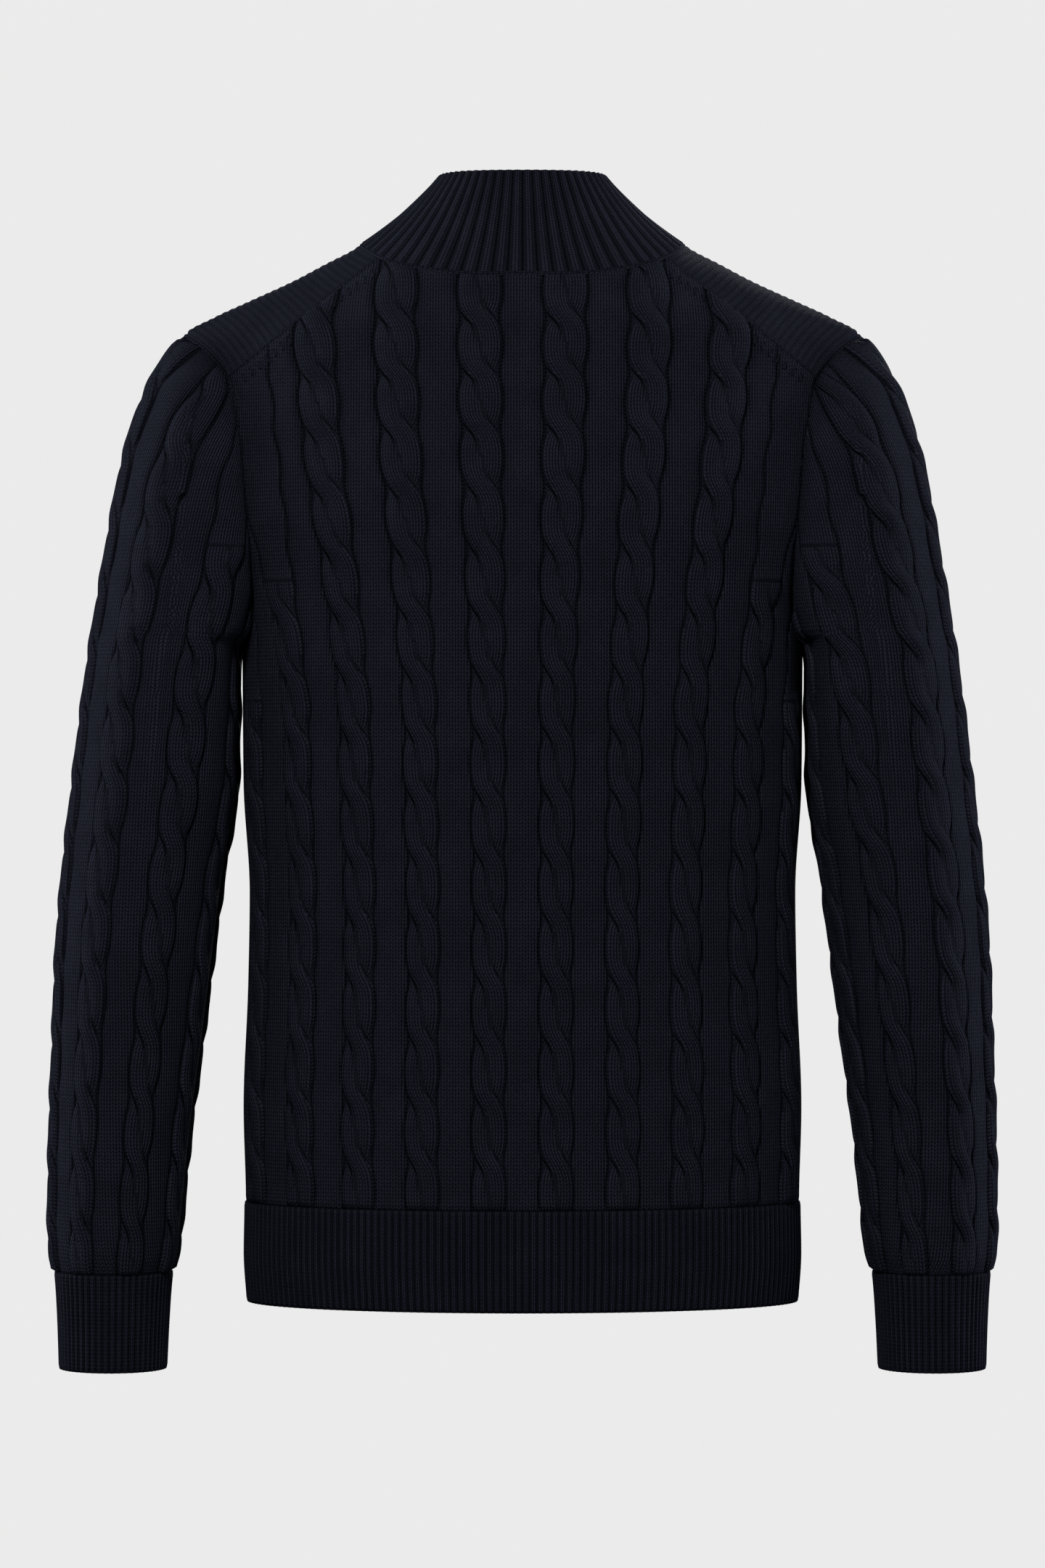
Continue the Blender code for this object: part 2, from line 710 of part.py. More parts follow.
def sleeve(name, side):
    """Sleeve cut in one piece and joined along the underarm line."""
    fine = 40
    rows = [CUFF_SEAM + (ARMPIT - CUFF_SEAM) * k / fine for k in range(fine + 1)]
    seam = [(sleeve_arcs(round(z, 4))[-1], z) for z in rows]
    cap_rows = [ARMPIT + (SHOULDER_TIP - 0.4 - ARMPIT) * (k / 60) ** 2 * (3 - 2 * k / 60) for k in range(61)]
    cap = [(sleeve_arcs(round(z, 4))[-1], z) for z in cap_rows]
    right = spread([(0.0, CUFF_SEAM), seam[0]]) + spread(seam) + spread(cap, 11.0)
    outline = right + [(-a, z) for a, z in right[::-1][:-1]]
    lean = side

    def pitch(z):
        even = sleeve_arcs(round(min(z, -300.0), 4))[-1] / 4
        return even if z < -300 else smooth(SPREAD, 2, z) * even / SPREAD[-1][2]

    def place(column, phase):
        z = SLEEVE_FIRST_CROSSING - SLEEVE_CROSSING_PITCH * phase
        return column * pitch(z), z
    starts = {0: 1, 1: 0, 2: 2, 3: 3}
    columns = [(k + SLEEVE_COLUMN_SHIFT, first, 12) for k, first in starts.items()]
    columns += [(-(k + 1 - SLEEVE_COLUMN_SHIFT), first, 12) for k, first in starts.items()]
    points, ties = cable_features(columns, range(13), place, lean)
    points += [(a, z, 0.0) for z in (-76, -92, -108, -122) for a in range(-90 + (z // 2) % 9, 91, 18)
               if abs(a) < sleeve_arcs(float(z))[-1] - 8]
    grid = inner_grid(180, CUFF_SEAM, -60, 40)
    return panel(name, on_sleeve(side), shrink(outline, SLEEVE_SEAM), points, ties, grid, NAVY)


def ribbed_band(name, surface, start, end, ribs, levels, colour, closed=False, per_inner=4):
    """A strip of ribs: surface(fraction, level, lift), raised crests outside and a plain inside."""
    columns = ribs * 2 + (0 if closed else 1)
    coarse = ribs * 2 // per_inner
    inner_columns = coarse + (0 if closed else 1)
    mesh = bmesh.new()
    outer, inner = [], []
    for level in levels:
        row = []
        for k in range(columns):
            share = start + (end - start) * k / (ribs * 2)
            row.append(mesh.verts.new(surface(share, level, WALL + (RIB_HIGH if k % 2 else 0.0)) * MM))
        outer.append(row)
        inner.append([mesh.verts.new(surface(start + (end - start) * k / coarse, level, 0.0) * MM)
                      for k in range(inner_columns)])

    def strip(first, second, wrap):
        count = len(first) if wrap else len(first) - 1
        for k in range(count):
            after = (k + 1) % len(first)
            mesh.faces.new((first[k], first[after], second[after], second[k]))

    def rim(fine, rough):
        a = b = 0
        last_a = len(fine) - (0 if closed else 1)
        last_b = len(rough) - (0 if closed else 1)
        while a < last_a or b < last_b:
            if b == last_b or (a < last_a and (a + 0.5) / last_a <= (b + 0.5) / last_b):
                mesh.faces.new((fine[a % len(fine)], fine[(a + 1) % len(fine)], rough[b % len(rough)]))
                a += 1
            else:
                mesh.faces.new((fine[a % len(fine)], rough[(b + 1) % len(rough)], rough[b % len(rough)]))
                b += 1
    for first, second in zip(outer, outer[1:]):
        strip(first, second, closed)
    for first, second in zip(inner, inner[1:]):
        strip(second, first, closed)
    rim(outer[0], inner[0])
    rim(outer[-1], inner[-1])
    if not closed:
        for k in range(len(levels) - 1):
            for edge in (0, -1):
                mesh.faces.new((outer[k][edge], outer[k + 1][edge], inner[k + 1][edge], inner[k][edge]))
    return finish(name, mesh, colour)


def hem(name, back, low, high):
    """Ribbed hem band between two arc fractions of the torso's half ring."""
    surface = on_torso(back)

    def place(share, level, lift):
        z = (HEM_SEAM - SEAM - 0.1) + (HEM_BOTTOM - HEM_SEAM) * level
        reach = side_arc(round(z, 4), back)
        edge = ZIP_HALF_GAP
        inset = SEAM
        arc = share * (reach - inset) if back else math.copysign(
            edge + (reach - inset - edge) * abs(share), high + low)
        return surface(arc, z, lift)
    reach = side_arc(HEM_SEAM, back)
    ribs = round(abs(high - low) * reach / HEM_RIB_PITCH / 4) * 4
    return ribbed_band(name, place, low, high, ribs, (0.0, 1.0), RIB_NAVY, per_inner=8)


def cuff(name, side):
    """Ribbed cuff, a closed tube."""
    surface = on_sleeve(side)

    def place(share, level, lift):
        z = (CUFF_SEAM - SEAM - 0.1) + (CUFF_BOTTOM - CUFF_SEAM) * level
        return surface(share * sleeve_arcs(round(z, 4))[-1] * 0.9999, z, lift)
    return ribbed_band(name, place, -1.0, 1.0, CUFF_RIBS, (0.0, 1.0), RIB_NAVY, closed=True, per_inner=4)


def collar_top(angle):
    """Top edge of the collar: level round the back and the sides, then falling to the zip."""
    power = 2 / 2.5
    middle = (COLLAR_TOP_BACK + COLLAR_TOP_FRONT) / 2
    half = (COLLAR_TOP_BACK - COLLAR_TOP_FRONT) / 2
    cos = math.cos(angle)
    fall = max(0.0, (abs(angle) - COLLAR_LEVEL_TO) / (math.pi - COLLAR_LEVEL_TO))
    height = COLLAR_TOP_BACK_Z + (COLLAR_TOP_FRONT_Z - COLLAR_TOP_BACK_Z) * fall * fall * (3 - 2 * fall)
    return Vector((math.copysign(COLLAR_TOP_HALF_WIDTH * abs(math.sin(angle)) ** power, math.sin(angle)),
                   middle + math.copysign(half * abs(cos) ** power, cos), height))


def collar_place(angle, level):
    """Collar surface from the neck seam (0) to its top edge (1), hollowed like a funnel."""
    base, top = neck_point(angle), collar_top(angle)
    control = Vector((base.x + (top.x - base.x) * 0.52, base.y + (top.y - base.y) * 0.52,
                      base.z + (top.z - base.z) * 0.42))
    return base * (1 - level) ** 2 + control * 2 * level * (1 - level) + top * level ** 2


def collar_normal(angle, level):
    """Outward direction of the collar."""
    across = collar_place(angle - 0.02, level) - collar_place(angle + 0.02, level)
    up = collar_place(angle, min(level + 0.05, 1.0)) - collar_place(angle, max(level - 0.05, 0.0))
    return across.cross(up).normalized()


def collar_angle(x, level):
    """Angle near the centre front at which the collar passes a given x."""
    low, high = math.pi, math.pi * 0.75
    for _ in range(30):
        middle = (low + high) / 2
        if collar_place(middle, level).x < x:
            low = middle
        else:
            high = middle
    return low


def collar():
    """Ribbed stand collar from one side of the zip round to the other."""
    stop = math.pi - 0.12
    steps = 240
    angles = [-stop + 2 * stop * k / steps for k in range(steps + 1)]
    arcs = [0.0]
    for a, b in zip(angles, angles[1:]):
        arcs.append(arcs[-1] + (collar_place(b, 0.3) - collar_place(a, 0.3)).length)

    def place(share, level, lift):
        target = share * arcs[-1]
        k = min(max(i for i in range(len(arcs)) if arcs[i] <= target + 1e-9), steps - 1)
        angle = angles[k] + (angles[k + 1] - angles[k]) * (target - arcs[k]) / (arcs[k + 1] - arcs[k])
        limit = collar_angle(ZIP_HALF_GAP, level)
        angle = math.copysign(min(abs(angle) * limit / stop, limit), angle)
        return lifted(collar_place(angle, level), collar_normal(angle, level), lift)
    levels = (0.006, 0.3, 0.62, 1.0)
    return ribbed_band("collar", place, 0.0, 1.0, COLLAR_RIBS, levels, RIB_NAVY, per_inner=2)


def yoke(name, side):
    """Ribbed strip over the shoulder, from the collar to the sleeve."""
    inset = 0.0028

    def place(share, level, lift):
        r, across = inset + (1 - 3 * inset) * share, (1 - 2 * level) * 0.985
        point = lifted(yoke_point(r, across), yoke_normal(r, across), lift)
        return Vector((side * point.x, point.y, point.z))
    levels = (0.0, 0.22, 0.5, 0.78, 1.0)
    return ribbed_band(name, place, 0.0, 1.0, YOKE_RIBS, levels, RIB_NAVY, per_inner=5)


def front_frame(run, x):
    """Point, outward and upward directions on the front opening, run mm above the hem's edge."""
    straight = neck_point(math.pi).z - HEM_BOTTOM
    if run <= straight:
        z = HEM_BOTTOM + run
        point = torso_point(torso_arc(x, z, False), z, False)
        out = torso_normal(point)
        return point, out, Vector((0, -out.z, -out.y)) if out.y > 0 else Vector((0, out.z, -out.y))
    level = min(1.0, (run - straight) / COLLAR_FRONT_LENGTH)
    angle = collar_angle(abs(x), level)
    point = collar_place(angle, level)
    point.x = x
    out = collar_normal(angle, level)
    out.x = math.copysign(out.x, x)
    return point, out, Vector((0, out.z, -out.y))


def strip_along_front(name, xs, lift_low, lift_high, start, end, count, colour, metallic=0.0):
    """A strip that follows the front opening, through the given x stations."""
    mesh = bmesh.new()
    rows = []
    for k in range(count + 1):
        run = start + (end - start) * k / count
        frames = [front_frame(run, x) for x in xs]
        rows.append([mesh.verts.new((point + out * lift_low) * MM) for point, out, _ in frames]
                    + [mesh.verts.new((point + out * lift_high) * MM) for point, out, _ in frames[::-1]])
    around = len(rows[0])
    for low, high in zip(rows, rows[1:]):
        for k in range(around):
            mesh.faces.new((low[k], low[(k + 1) % around], high[(k + 1) % around], high[k]))
    mesh.faces.new(rows[0])
    mesh.faces.new(rows[-1][::-1])
    return finish(name, mesh, colour, 0.5 if metallic else 0.9, metallic)


def zip_parts():
    """Tapes behind the fronts, the closed chain between them, and the bottom box."""
    top = neck_point(math.pi).z - HEM_BOTTOM + COLLAR_FRONT_LENGTH
    strip_along_front("zip_tape_left", (3.2, 9.0, 15.0), -1.9, -0.9, 2.0, top - 1.0, 40, TAPE_NAVY)
    strip_along_front("zip_tape_right", (-3.2, -9.0, -15.0), -1.9, -0.9, 2.0, top - 1.0, 40, TAPE_NAVY)
    strip_along_front("zip_chain", (-2.8, 2.8), -1.5, 1.2, 12.5, top - SLIDER_DROP + 4.0, 28, GUNMETAL, 0.9)
    strip_along_front("zip_bottom_box", (-2.9, 2.9), -2.0, 2.6, 3.0, 12.0, 1, GUNMETAL, 0.9)


def block(mesh, low, high):
    """Adds an axis-aligned block to a bmesh."""
    xs, ys, zs = zip(low, high)
    corners = [Vector((x, y, z)) for z in zs for y in ys for x in xs]
    verts = [mesh.verts.new(c) for c in corners]
    for face in ((0, 1, 3, 2), (4, 6, 7, 5), (0, 4, 5, 1), (2, 3, 7, 6), (0, 2, 6, 4), (1, 5, 7, 3)):
        mesh.faces.new([verts[k] for k in face])


def side_profile(mesh, outline, half_width):
    """Adds a prism along x from an outline of (outward, up) points."""
    ends = [[mesh.verts.new((x, u, v)) for u, v in outline] for x in (-half_width, half_width)]
    mesh.faces.new(ends[0])
    mesh.faces.new(ends[1][::-1])
    for k in range(len(outline)):
        after = (k + 1) % len(outline)
        mesh.faces.new((ends[0][after], ends[0][k], ends[1][k], ends[1][after]))


def rod(mesh, radius, half_length, sides=12):
    """Adds a round bar along x through the origin."""
    outline = [(radius * math.cos(2 * math.pi * k / sides), radius * math.sin(2 * math.pi * k / sides))
               for k in range(sides)]
    side_profile(mesh, outline, half_length)


def metal_piece(name, shapes, frame, cuts=()):
    """Unites the shapes, takes the cuts away, and places the result: shapes are bmesh-filling functions."""
    pieces = []
    for number, shape in enumerate(list(shapes) + list(cuts)):
        mesh = bmesh.new()
        shape(mesh)
        bmesh.ops.scale(mesh, vec=(MM, MM, MM), verts=mesh.verts[:])
        bmesh.ops.transform(mesh, matrix=frame, verts=mesh.verts[:])
        item = finish(name if number == 0 else f"{name}_tool_{number}", mesh, GUNMETAL, 0.35, 0.95)
        pieces.append(item)
    for number, tool in enumerate(pieces[1:], 1):
        cut = pieces[0].modifiers.new(f"step_{number}", "BOOLEAN")
        cut.operation = "DIFFERENCE" if number >= len(shapes) else "UNION"
        cut.object = tool
        tool.hide_render = True
        tool.display_type = "WIRE"
    return pieces[0]


def slider_and_pull():
    """Slider at the top of the zip and the pull tab that hangs from its lugs."""
    top = neck_point(math.pi).z - HEM_BOTTOM + COLLAR_FRONT_LENGTH
    point, out, up = front_frame(top - SLIDER_DROP, 0.0)
    side = Vector((1, 0, 0))
    frame = Matrix.Translation(point * MM) @ Matrix((side, out, up)).transposed().to_4x4()
    swivel = 6.6                        # hinge axis outward of the cloth's inner face
    metal_piece("zip_slider", (
        lambda mesh: side_profile(mesh, [(1.5, -5.5), (4.6, -5.5), (4.9, 0.0), (4.6, 5.5), (1.5, 5.5)], 3.8),
        lambda mesh: block(mesh, (1.9, 4.0, -1.6), (3.2, 8.2, 1.6)),
        lambda mesh: block(mesh, (-3.2, 4.0, -1.6), (-1.9, 8.2, 1.6)),
        lambda mesh: move(rod_mesh(mesh, 0.7, 2.6), swivel)), frame)

    def tab(mesh):
        side_profile(mesh, [(swivel - 0.8, -7.0), (swivel - 0.8, -27.0), (swivel - 0.2, -28.0),
                            (swivel + 0.4, -28.0), (swivel + 0.8, -27.0), (swivel + 0.8, -7.0)], 3.4)

    def neck(mesh):
        block(mesh, (-1.3, swivel - 0.6, -8.0), (1.3, swivel + 0.6, -0.6))
    metal_piece("zip_pull", (
        tab, neck, lambda mesh: move(rod_mesh(mesh, 1.6, 1.5), swivel)), frame,
        (lambda mesh: move(rod_mesh(mesh, 1.05, 3.0), swivel),))


def rod_mesh(mesh, radius, half_length):
    rod(mesh, radius, half_length)
    return mesh


def move(mesh, outward):
    """Shifts everything in a bmesh outward."""
    bmesh.ops.translate(mesh, vec=(0, outward, 0), verts=mesh.verts[:])


def main():
    for item in list(bpy.data.objects):
        bpy.data.objects.remove(item, do_unlink=True)
    back_panel()
    front_panel("front_left", 1)
    front_panel("front_right", -1)
    sleeve("sleeve_left", 1)
    sleeve("sleeve_right", -1)
    cuff("cuff_left", 1)
    cuff("cuff_right", -1)
    hem("hem_back", True, -1.0, 1.0)
    hem("hem_front_left", False, 0.0, 1.0)
    hem("hem_front_right", False, 0.0, -1.0)
    yoke("yoke_left", 1)
    yoke("yoke_right", -1)
    collar()
    zip_parts()
    slider_and_pull()


main()
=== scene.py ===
"""Looks of the zip-up cable-knit cardigan: knitted shells, cables and ribs, seams and the zip's teeth.

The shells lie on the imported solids' form, which the tables below repeat. Lengths in them are millimetres,
+Z is up, the wearer's front is toward -Y and the wearer's left toward +X.
"""
import math

import bpy
import numpy as np
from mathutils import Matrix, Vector
from mathutils.geometry import delaunay_2d_cdt


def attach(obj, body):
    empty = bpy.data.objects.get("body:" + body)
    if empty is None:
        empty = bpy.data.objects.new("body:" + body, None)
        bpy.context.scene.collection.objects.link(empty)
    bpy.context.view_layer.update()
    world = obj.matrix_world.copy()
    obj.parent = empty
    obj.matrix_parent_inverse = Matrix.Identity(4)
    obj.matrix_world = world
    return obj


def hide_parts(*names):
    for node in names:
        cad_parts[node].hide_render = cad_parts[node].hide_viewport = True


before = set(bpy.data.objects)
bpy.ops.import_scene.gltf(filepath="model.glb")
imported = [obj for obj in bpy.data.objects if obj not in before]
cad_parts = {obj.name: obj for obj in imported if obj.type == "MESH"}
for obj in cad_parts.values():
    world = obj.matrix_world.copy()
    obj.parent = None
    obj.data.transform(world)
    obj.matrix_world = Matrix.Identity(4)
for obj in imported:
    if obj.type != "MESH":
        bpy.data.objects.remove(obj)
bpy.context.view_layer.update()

MM = 0.001
BODY = "cloth"

# ---- the garment's form, as in the part's source ----

WALL = 2.0
RIB_HIGH = 1.3
SEAM = 0.2
SLEEVE_SEAM = 0.8
HEM_SEAM = -622.0
HEM_BOTTOM = -687.0
CUFF_SEAM = -668.0
CUFF_BOTTOM = -731.0
ARMPIT = -250.0
SHOULDER_TIP = -57.0
ZIP_HALF_GAP = 4.2
MITRE_REACH = 10.0
YOKE_ARM_HEIGHT = -86.0
YOKE_BLEND = 16.0
UNDERARM_TILT = 1.4

# Torso rings: height, half width, depth behind the side line, depth before it (all to the cloth's inside)
TORSO = (
    (2.5, 103.2, 60, 38),
    (-2.4, 110.7, 65, 42),
    (-10.5, 126.7, 70, 48),
    (-22, 148.7, 78, 55),
    (-36, 179.7, 81, 61),
    (-45, 199.7, 83.5, 65),
    (-57, 219.7, 86, 69.5),
    (-72, 216.2, 88.5, 75),
    (-86, 212.7, 91, 80),
    (-120, 207.7, 97, 90),
    (-180, 196.7, 104, 101),
    (-250, 181.2, 106, 106),
    (-349, 180.2, 103, 104),
    (-420, 176.2, 100, 101),
    (-480, 177.2, 99, 99),
    (-560, 180.2, 99, 99),
    (-622, 178.7, 99, 99),
    (-655, 179.2, 98.5, 98),
    (-687, 177.2, 97, 96),
)
# How fast the torso falls away toward the shoulder's edge: height, exponent (0.5 is an ellipse)
FALL = ((2.5, 0.55), (-10, 0.6), (-45, 0.7), (-72, 0.68), (-120, 0.58), (-180, 0.5))
# Armhole seam: height, distance from the side line (the same before and behind)
ARMHOLE = (
    (-57, 0),
    (-62, 12),
    (-70, 21),
    (-86, 31),
    (-111, 38),
    (-131, 42),
    (-181, 44),
    (-220, 35),
    (-236, 26),
    (-246, 13),
    (-250, 0),
)
# Sleeve rings: height, outermost x, innermost x, half depth, squareness of the inner side
SLEEVE = (
    (-57, 220, 219.7, 2, 2.0),
    (-64, 226.7, 211, 17, 2.4),
    (-78, 235.7, 198, 31, 2.8),
    (-93, 243.7, 190, 41, 3.2),
    (-121, 253.7, 184, 51, 3.6),
    (-150, 260.7, 181, 58, 3.8),
    (-207, 270.7, 181, 63, 4.0),
    (-250, 277.7, 181.7, 65, 4.0),
    (-254, 278.3, 187.6, 65, 4.0),
    (-262, 279.5, 189.6, 65, 4.0),
    (-300, 284.7, 190.0, 64, 3.6),
    (-349, 290.7, 190.6, 62, 2.8),
    (-406, 297.2, 198.8, 58, 2.3),
    (-463, 301.7, 205.8, 55, 2.1),
    (-520, 303.7, 212.8, 51.5, 2.0),
    (-577, 305.7, 220.3, 48.5, 2.0),
    (-635, 306.4, 226.1, 45.5, 2.0),
    (-655, 305.7, 228.3, 44, 2.0),
    (-668, 303.2, 231.8, 40.5, 2.0),
    (-700, 301.2, 234.3, 39, 2.0),
    (-731, 300.2, 235.8, 38.5, 2.0),
)
# Column spacing of the cables above the armpit: height, mm on the torso, mm on a sleeve
SPREAD = (
    (-57, 57.5, 47.5),
    (-130, 55, 47.5),
    (-200, 51, 46.5),
    (-250, 48.5, 45),
    (-300, 46, 43.5),
)
# Heights of the torso's cable crossings: number from the top, height
TORSO_CROSSINGS = ((-3, 58), (0, -50.6), (2, -122), (5, -238), (14, -590.6), (16, -668))
SLEEVE_FIRST_CROSSING = -134.0
SLEEVE_CROSSING_PITCH = 41.8
COLUMNS_TO_SIDE = 5.2
SLEEVE_COLUMN_SHIFT = 0.4

NECK_HALF_WIDTH = 104.3
NECK_BACK = 78.0
NECK_FRONT = -75.5
NECK_SQUARE = 2.3
COLLAR_TOP_HALF_WIDTH = 52.8
COLLAR_TOP_BACK = 61.0
COLLAR_TOP_FRONT = -66.0
COLLAR_TOP_BACK_Z = 46.0
COLLAR_TOP_FRONT_Z = -8.0
COLLAR_LEVEL_TO = 1.25
COLLAR_TOP_SQUARE = 2.5
COLLAR_RIBS = 64
HEM_RIB_PITCH = 4.6
CUFF_RIBS = 56
YOKE_RIBS = 25
COLLAR_FRONT_LENGTH = 64.5
SLIDER_DROP = 14.0
YOKE_NECK_BACK = 91.0
YOKE_NECK_FRONT = 92.0

# ---- the knit, mm ----

INNER_STEP = 14.0           # spacing of the points on the plain inside
EDGE_FADE = 2.0             # the relief dies away over this much at a panel's edge
BEYOND_STRANDS = 3.0        # a strand-edge value away from every cable
INSIDE_SHADE = 0.15
TORSO_SPAN = 5.9            # column spacings from the centre line to past the side seam
SLEEVE_SPAN = (-4.4, 4.6)
COLUMN_ABOUT = 44           # a usual column spacing
PLAIN_STEP = 2.4            # station spacing on the plain strip beside the seams
EVEN_BELOW = -300.0         # below this height the columns are evenly spread
BAND_ROWS = 24

YOKE_RIB_HIGH = 0.5         # the yokes' ribs are stretched almost flat
WALE = 3.7                  # width of a stitch
MARK_PITCH = 6.2            # of the fashioning stitches below a yoke's seam
MARK_LENGTH = 5.0
MARK_OFFSET = 5.0
YOKE_SEAM_LENGTH = 125.0
COURSE = 2.4                # height of a stitch
ROW = 2.35                  # height of a shell's cells
CABLE_TOP = 3.0             # mean height of a cable's strands above the wall
OVER_RISE = 1.1             # how much higher the upper strand is at a crossing
UNDER_DIP = 2.2             # how much lower the strand under it is
GROOVE_DEPTH = 1.1
GROOVE_HALF = 0.85          # half width of the groove beside a cable
GROOVE_WIDENS = 0.7         # how much wider it is at the shoulders
GROOVE_WIDENS_FROM = -290.0
GROOVE_WIDENS_OVER = 150.0
CABLE_PINCH = 0.222         # half width of a cable at a crossing, in column spacings
CABLE_WIDE = 0.268          # and half way between two crossings

# ---- colours, as linear light ----

# the yarn's colours: mixed by its own heather and fuzz tone, and by painted shade, the dark one toward each
# stitch's edges and the light one on its crest
NAVY_LIGHT = (0.0370, 0.0395, 0.0600)
NAVY_DARK = (0.0060, 0.0064, 0.0110)
# colour of painted shade, mixed in at the grooves, the creases beside upper strands, the seams' pinches and
# the plain inside
PAINTED_SHADE_NAVY = (0.0010, 0.0011, 0.0020)
STITCH_DEPTH = 0.0014       # metres of bump from a stitch's edge to its crest
CREASE_PLACE = 1.04         # where the crease line beside an upper strand lies, in strand radii: painted shade and a dip in the bump
CREASE_WIDTH = 0.16
TAPE_NAVY = (0.0120, 0.0130, 0.0210)
METAL = (0.30, 0.31, 0.33)
PAPER = (0.83, 0.83, 0.83)


# ---- smooth tables ----

HEIGHTS = np.arange(-760.0, 4.0, 0.5)


def smooth(table, column, heights):
    """A table's column at an array of heights, through its rows on a smooth monotone curve."""
    rows = np.array(table if table[0][0] < table[-1][0] else table[::-1], float)
    x, y = rows[:, 0], rows[:, column]
    slope = np.diff(y) / np.diff(x)
    tangent = np.empty(len(x))
    tangent[0], tangent[-1] = slope[0], slope[-1]
    before, after = slope[:-1], slope[1:]
    same_way = before * after > 0
    mean = 2 * before * after / np.where(same_way, before + after, 1.0)
    tangent[1:-1] = np.where(same_way, mean, 0.0)
    held = np.clip(heights, x[0], x[-1])
    i = np.clip(np.searchsorted(x, held, side="right") - 1, 0, len(x) - 2)
    span = x[i + 1] - x[i]
    t = (held - x[i]) / span
    return (y[i] * (1 + 2 * t) * (1 - t) ** 2 + tangent[i] * span * t * (1 - t) ** 2
            + y[i + 1] * t * t * (3 - 2 * t) - tangent[i + 1] * span * t * t * (1 - t))


def sampled(table, column):
    """The column as a quick function of height."""
    values = smooth(table, column, HEIGHTS)
    return lambda z: np.interp(z, HEIGHTS, values)


torso_width, torso_back, torso_front = (sampled(TORSO, k) for k in (1, 2, 3))
fall_power = sampled(FALL, 1)
armhole_depth = sampled(ARMHOLE, 1)
sleeve_outer, sleeve_inner, sleeve_depth, sleeve_square = (sampled(SLEEVE, k) for k in (1, 2, 3, 4))
torso_spread, sleeve_spread = (sampled(SPREAD, k) for k in (1, 2))


def ease(x):
    x = np.clip(x, 0.0, 1.0)
    return x * x * (3 - 2 * x)


def unit(vectors):
    return vectors / np.maximum(np.linalg.norm(vectors, axis=-1, keepdims=True), 1e-12)


def stacked(x, y, z):
    return np.stack(np.broadcast_arrays(x, y, z), axis=-1)


class Rings:
    """Arc length along a family of half rings, one at each height."""

    def __init__(self, place, heights, steps=96):
        self.heights = heights
        turns = np.linspace(0.0, 1.0, steps + 1)
        points = place(turns[None, :], heights[:, None])
        lengths = np.linalg.norm(np.diff(points, axis=1), axis=2)
        arcs = np.concatenate([np.zeros((len(heights), 1)), np.cumsum(lengths, axis=1)], axis=1)
        self.reaches = arcs[:, -1]
        self.shares = np.linspace(0.0, 1.0, 161)
        self.turns = np.array([np.interp(self.shares, row / row[-1], turns) for row in arcs])

    def reach(self, z):
        return np.interp(z, self.heights, self.reaches)

    def turn(self, arc, z):
        """Signed turn (-1 to 1) at a signed arc length."""
        arc, z = np.broadcast_arrays(np.asarray(arc, float), np.asarray(z, float))
        share = np.clip(np.abs(arc) / self.reach(z), 0.0, 1.0) * (len(self.shares) - 1)
        row = np.interp(z, self.heights, np.arange(len(self.heights)))
        i = np.clip(row.astype(int), 0, len(self.heights) - 2)
        j = np.clip(share.astype(int), 0, len(self.shares) - 2)
        u, v = row - i, share - j
        t = self.turns
        value = ((t[i, j] * (1 - v) + t[i, j + 1] * v) * (1 - u)
                 + (t[i + 1, j] * (1 - v) + t[i + 1, j + 1] * v) * u)
        return np.copysign(value, arc)


# ---- torso surface ----

def torso_ring(turn, z, back):
    angle = turn * math.pi / 2
    depth = torso_back(z) if back else torso_front(z)
    sign = 1.0 if back else -1.0
    drop = np.maximum(np.cos(angle), 0.0) ** (2 * fall_power(z))
    return stacked(torso_width(z) * np.sin(angle), sign * depth * drop, z)


TORSO_HEIGHTS = np.arange(-690.0, 2.6, 2.0)
torso_rings = {
    back: Rings(lambda turn, z, b=back: torso_ring(turn, z, b), TORSO_HEIGHTS)
    for back in (True, False)
}


def torso_point(arc, z, back):
    return torso_ring(torso_rings[back].turn(arc, z), z, back)


def torso_arc(x, z, back):
    """Signed arc length of the torso point with this x."""
    rings = torso_rings[back]
    x, z = np.broadcast_arrays(np.asarray(x, float), np.asarray(z, float))
    turn = np.arcsin(np.clip(np.abs(x) / torso_width(z), 0.0, 1.0)) / (math.pi / 2)
    shares = np.empty(x.shape)
    for k in np.ndindex(x.shape):
        row = int(round(float(np.interp(z[k], rings.heights, np.arange(len(rings.heights))))))
        shares[k] = np.interp(turn[k], rings.turns[row], rings.shares)
    return np.copysign(shares * rings.reach(z), x)


def torso_excess(points):
    x, y, z = points[..., 0], points[..., 1], points[..., 2]
    depth = np.where(y >= 0, torso_back(z), torso_front(z))
    return (x / torso_width(z)) ** 2 + np.abs(y / depth) ** (1 / fall_power(z)) - 1


def torso_normal(points):
    step = 0.6
    slopes = []
    for axis in range(3):
        shift = np.zeros(3)
        shift[axis] = step
        slopes.append(torso_excess(points + shift) - torso_excess(points - shift))
    return unit(np.stack(slopes, axis=-1))


def torso_height(x, y):
    """Height of the shoulder surface over plan positions, the first one met from above."""
    levels = np.arange(TORSO[0][0], -130.0, -0.5)
    heights = []
    for px, py in zip(np.atleast_1d(x), np.atleast_1d(y)):
        line = np.stack([np.full(len(levels), px), np.full(len(levels), py), levels], axis=1)
        excess = torso_excess(line)
        under = np.nonzero(excess <= 0)[0]
        if len(under) == 0:
            heights.append(levels[np.argmin(excess)])
        elif under[0] == 0:
            heights.append(levels[0])
        else:
            k = under[0]
            share = excess[k - 1] / (excess[k - 1] - excess[k])
            heights.append(levels[k - 1] + (levels[k] - levels[k - 1]) * share)
    return np.array(heights)


# ---- sleeve surface (the left one) ----

def sleeve_end(z, back):
    """Where the sleeve's edge meets the torso above the armpit."""
    depth = torso_back(z) if back else torso_front(z)
    y = armhole_depth(z)
    share = (y / depth) ** (1 / fall_power(z))
    return stacked(torso_width(z) * np.sqrt(np.maximum(0.0, 1 - share)), y if back else -y, z)


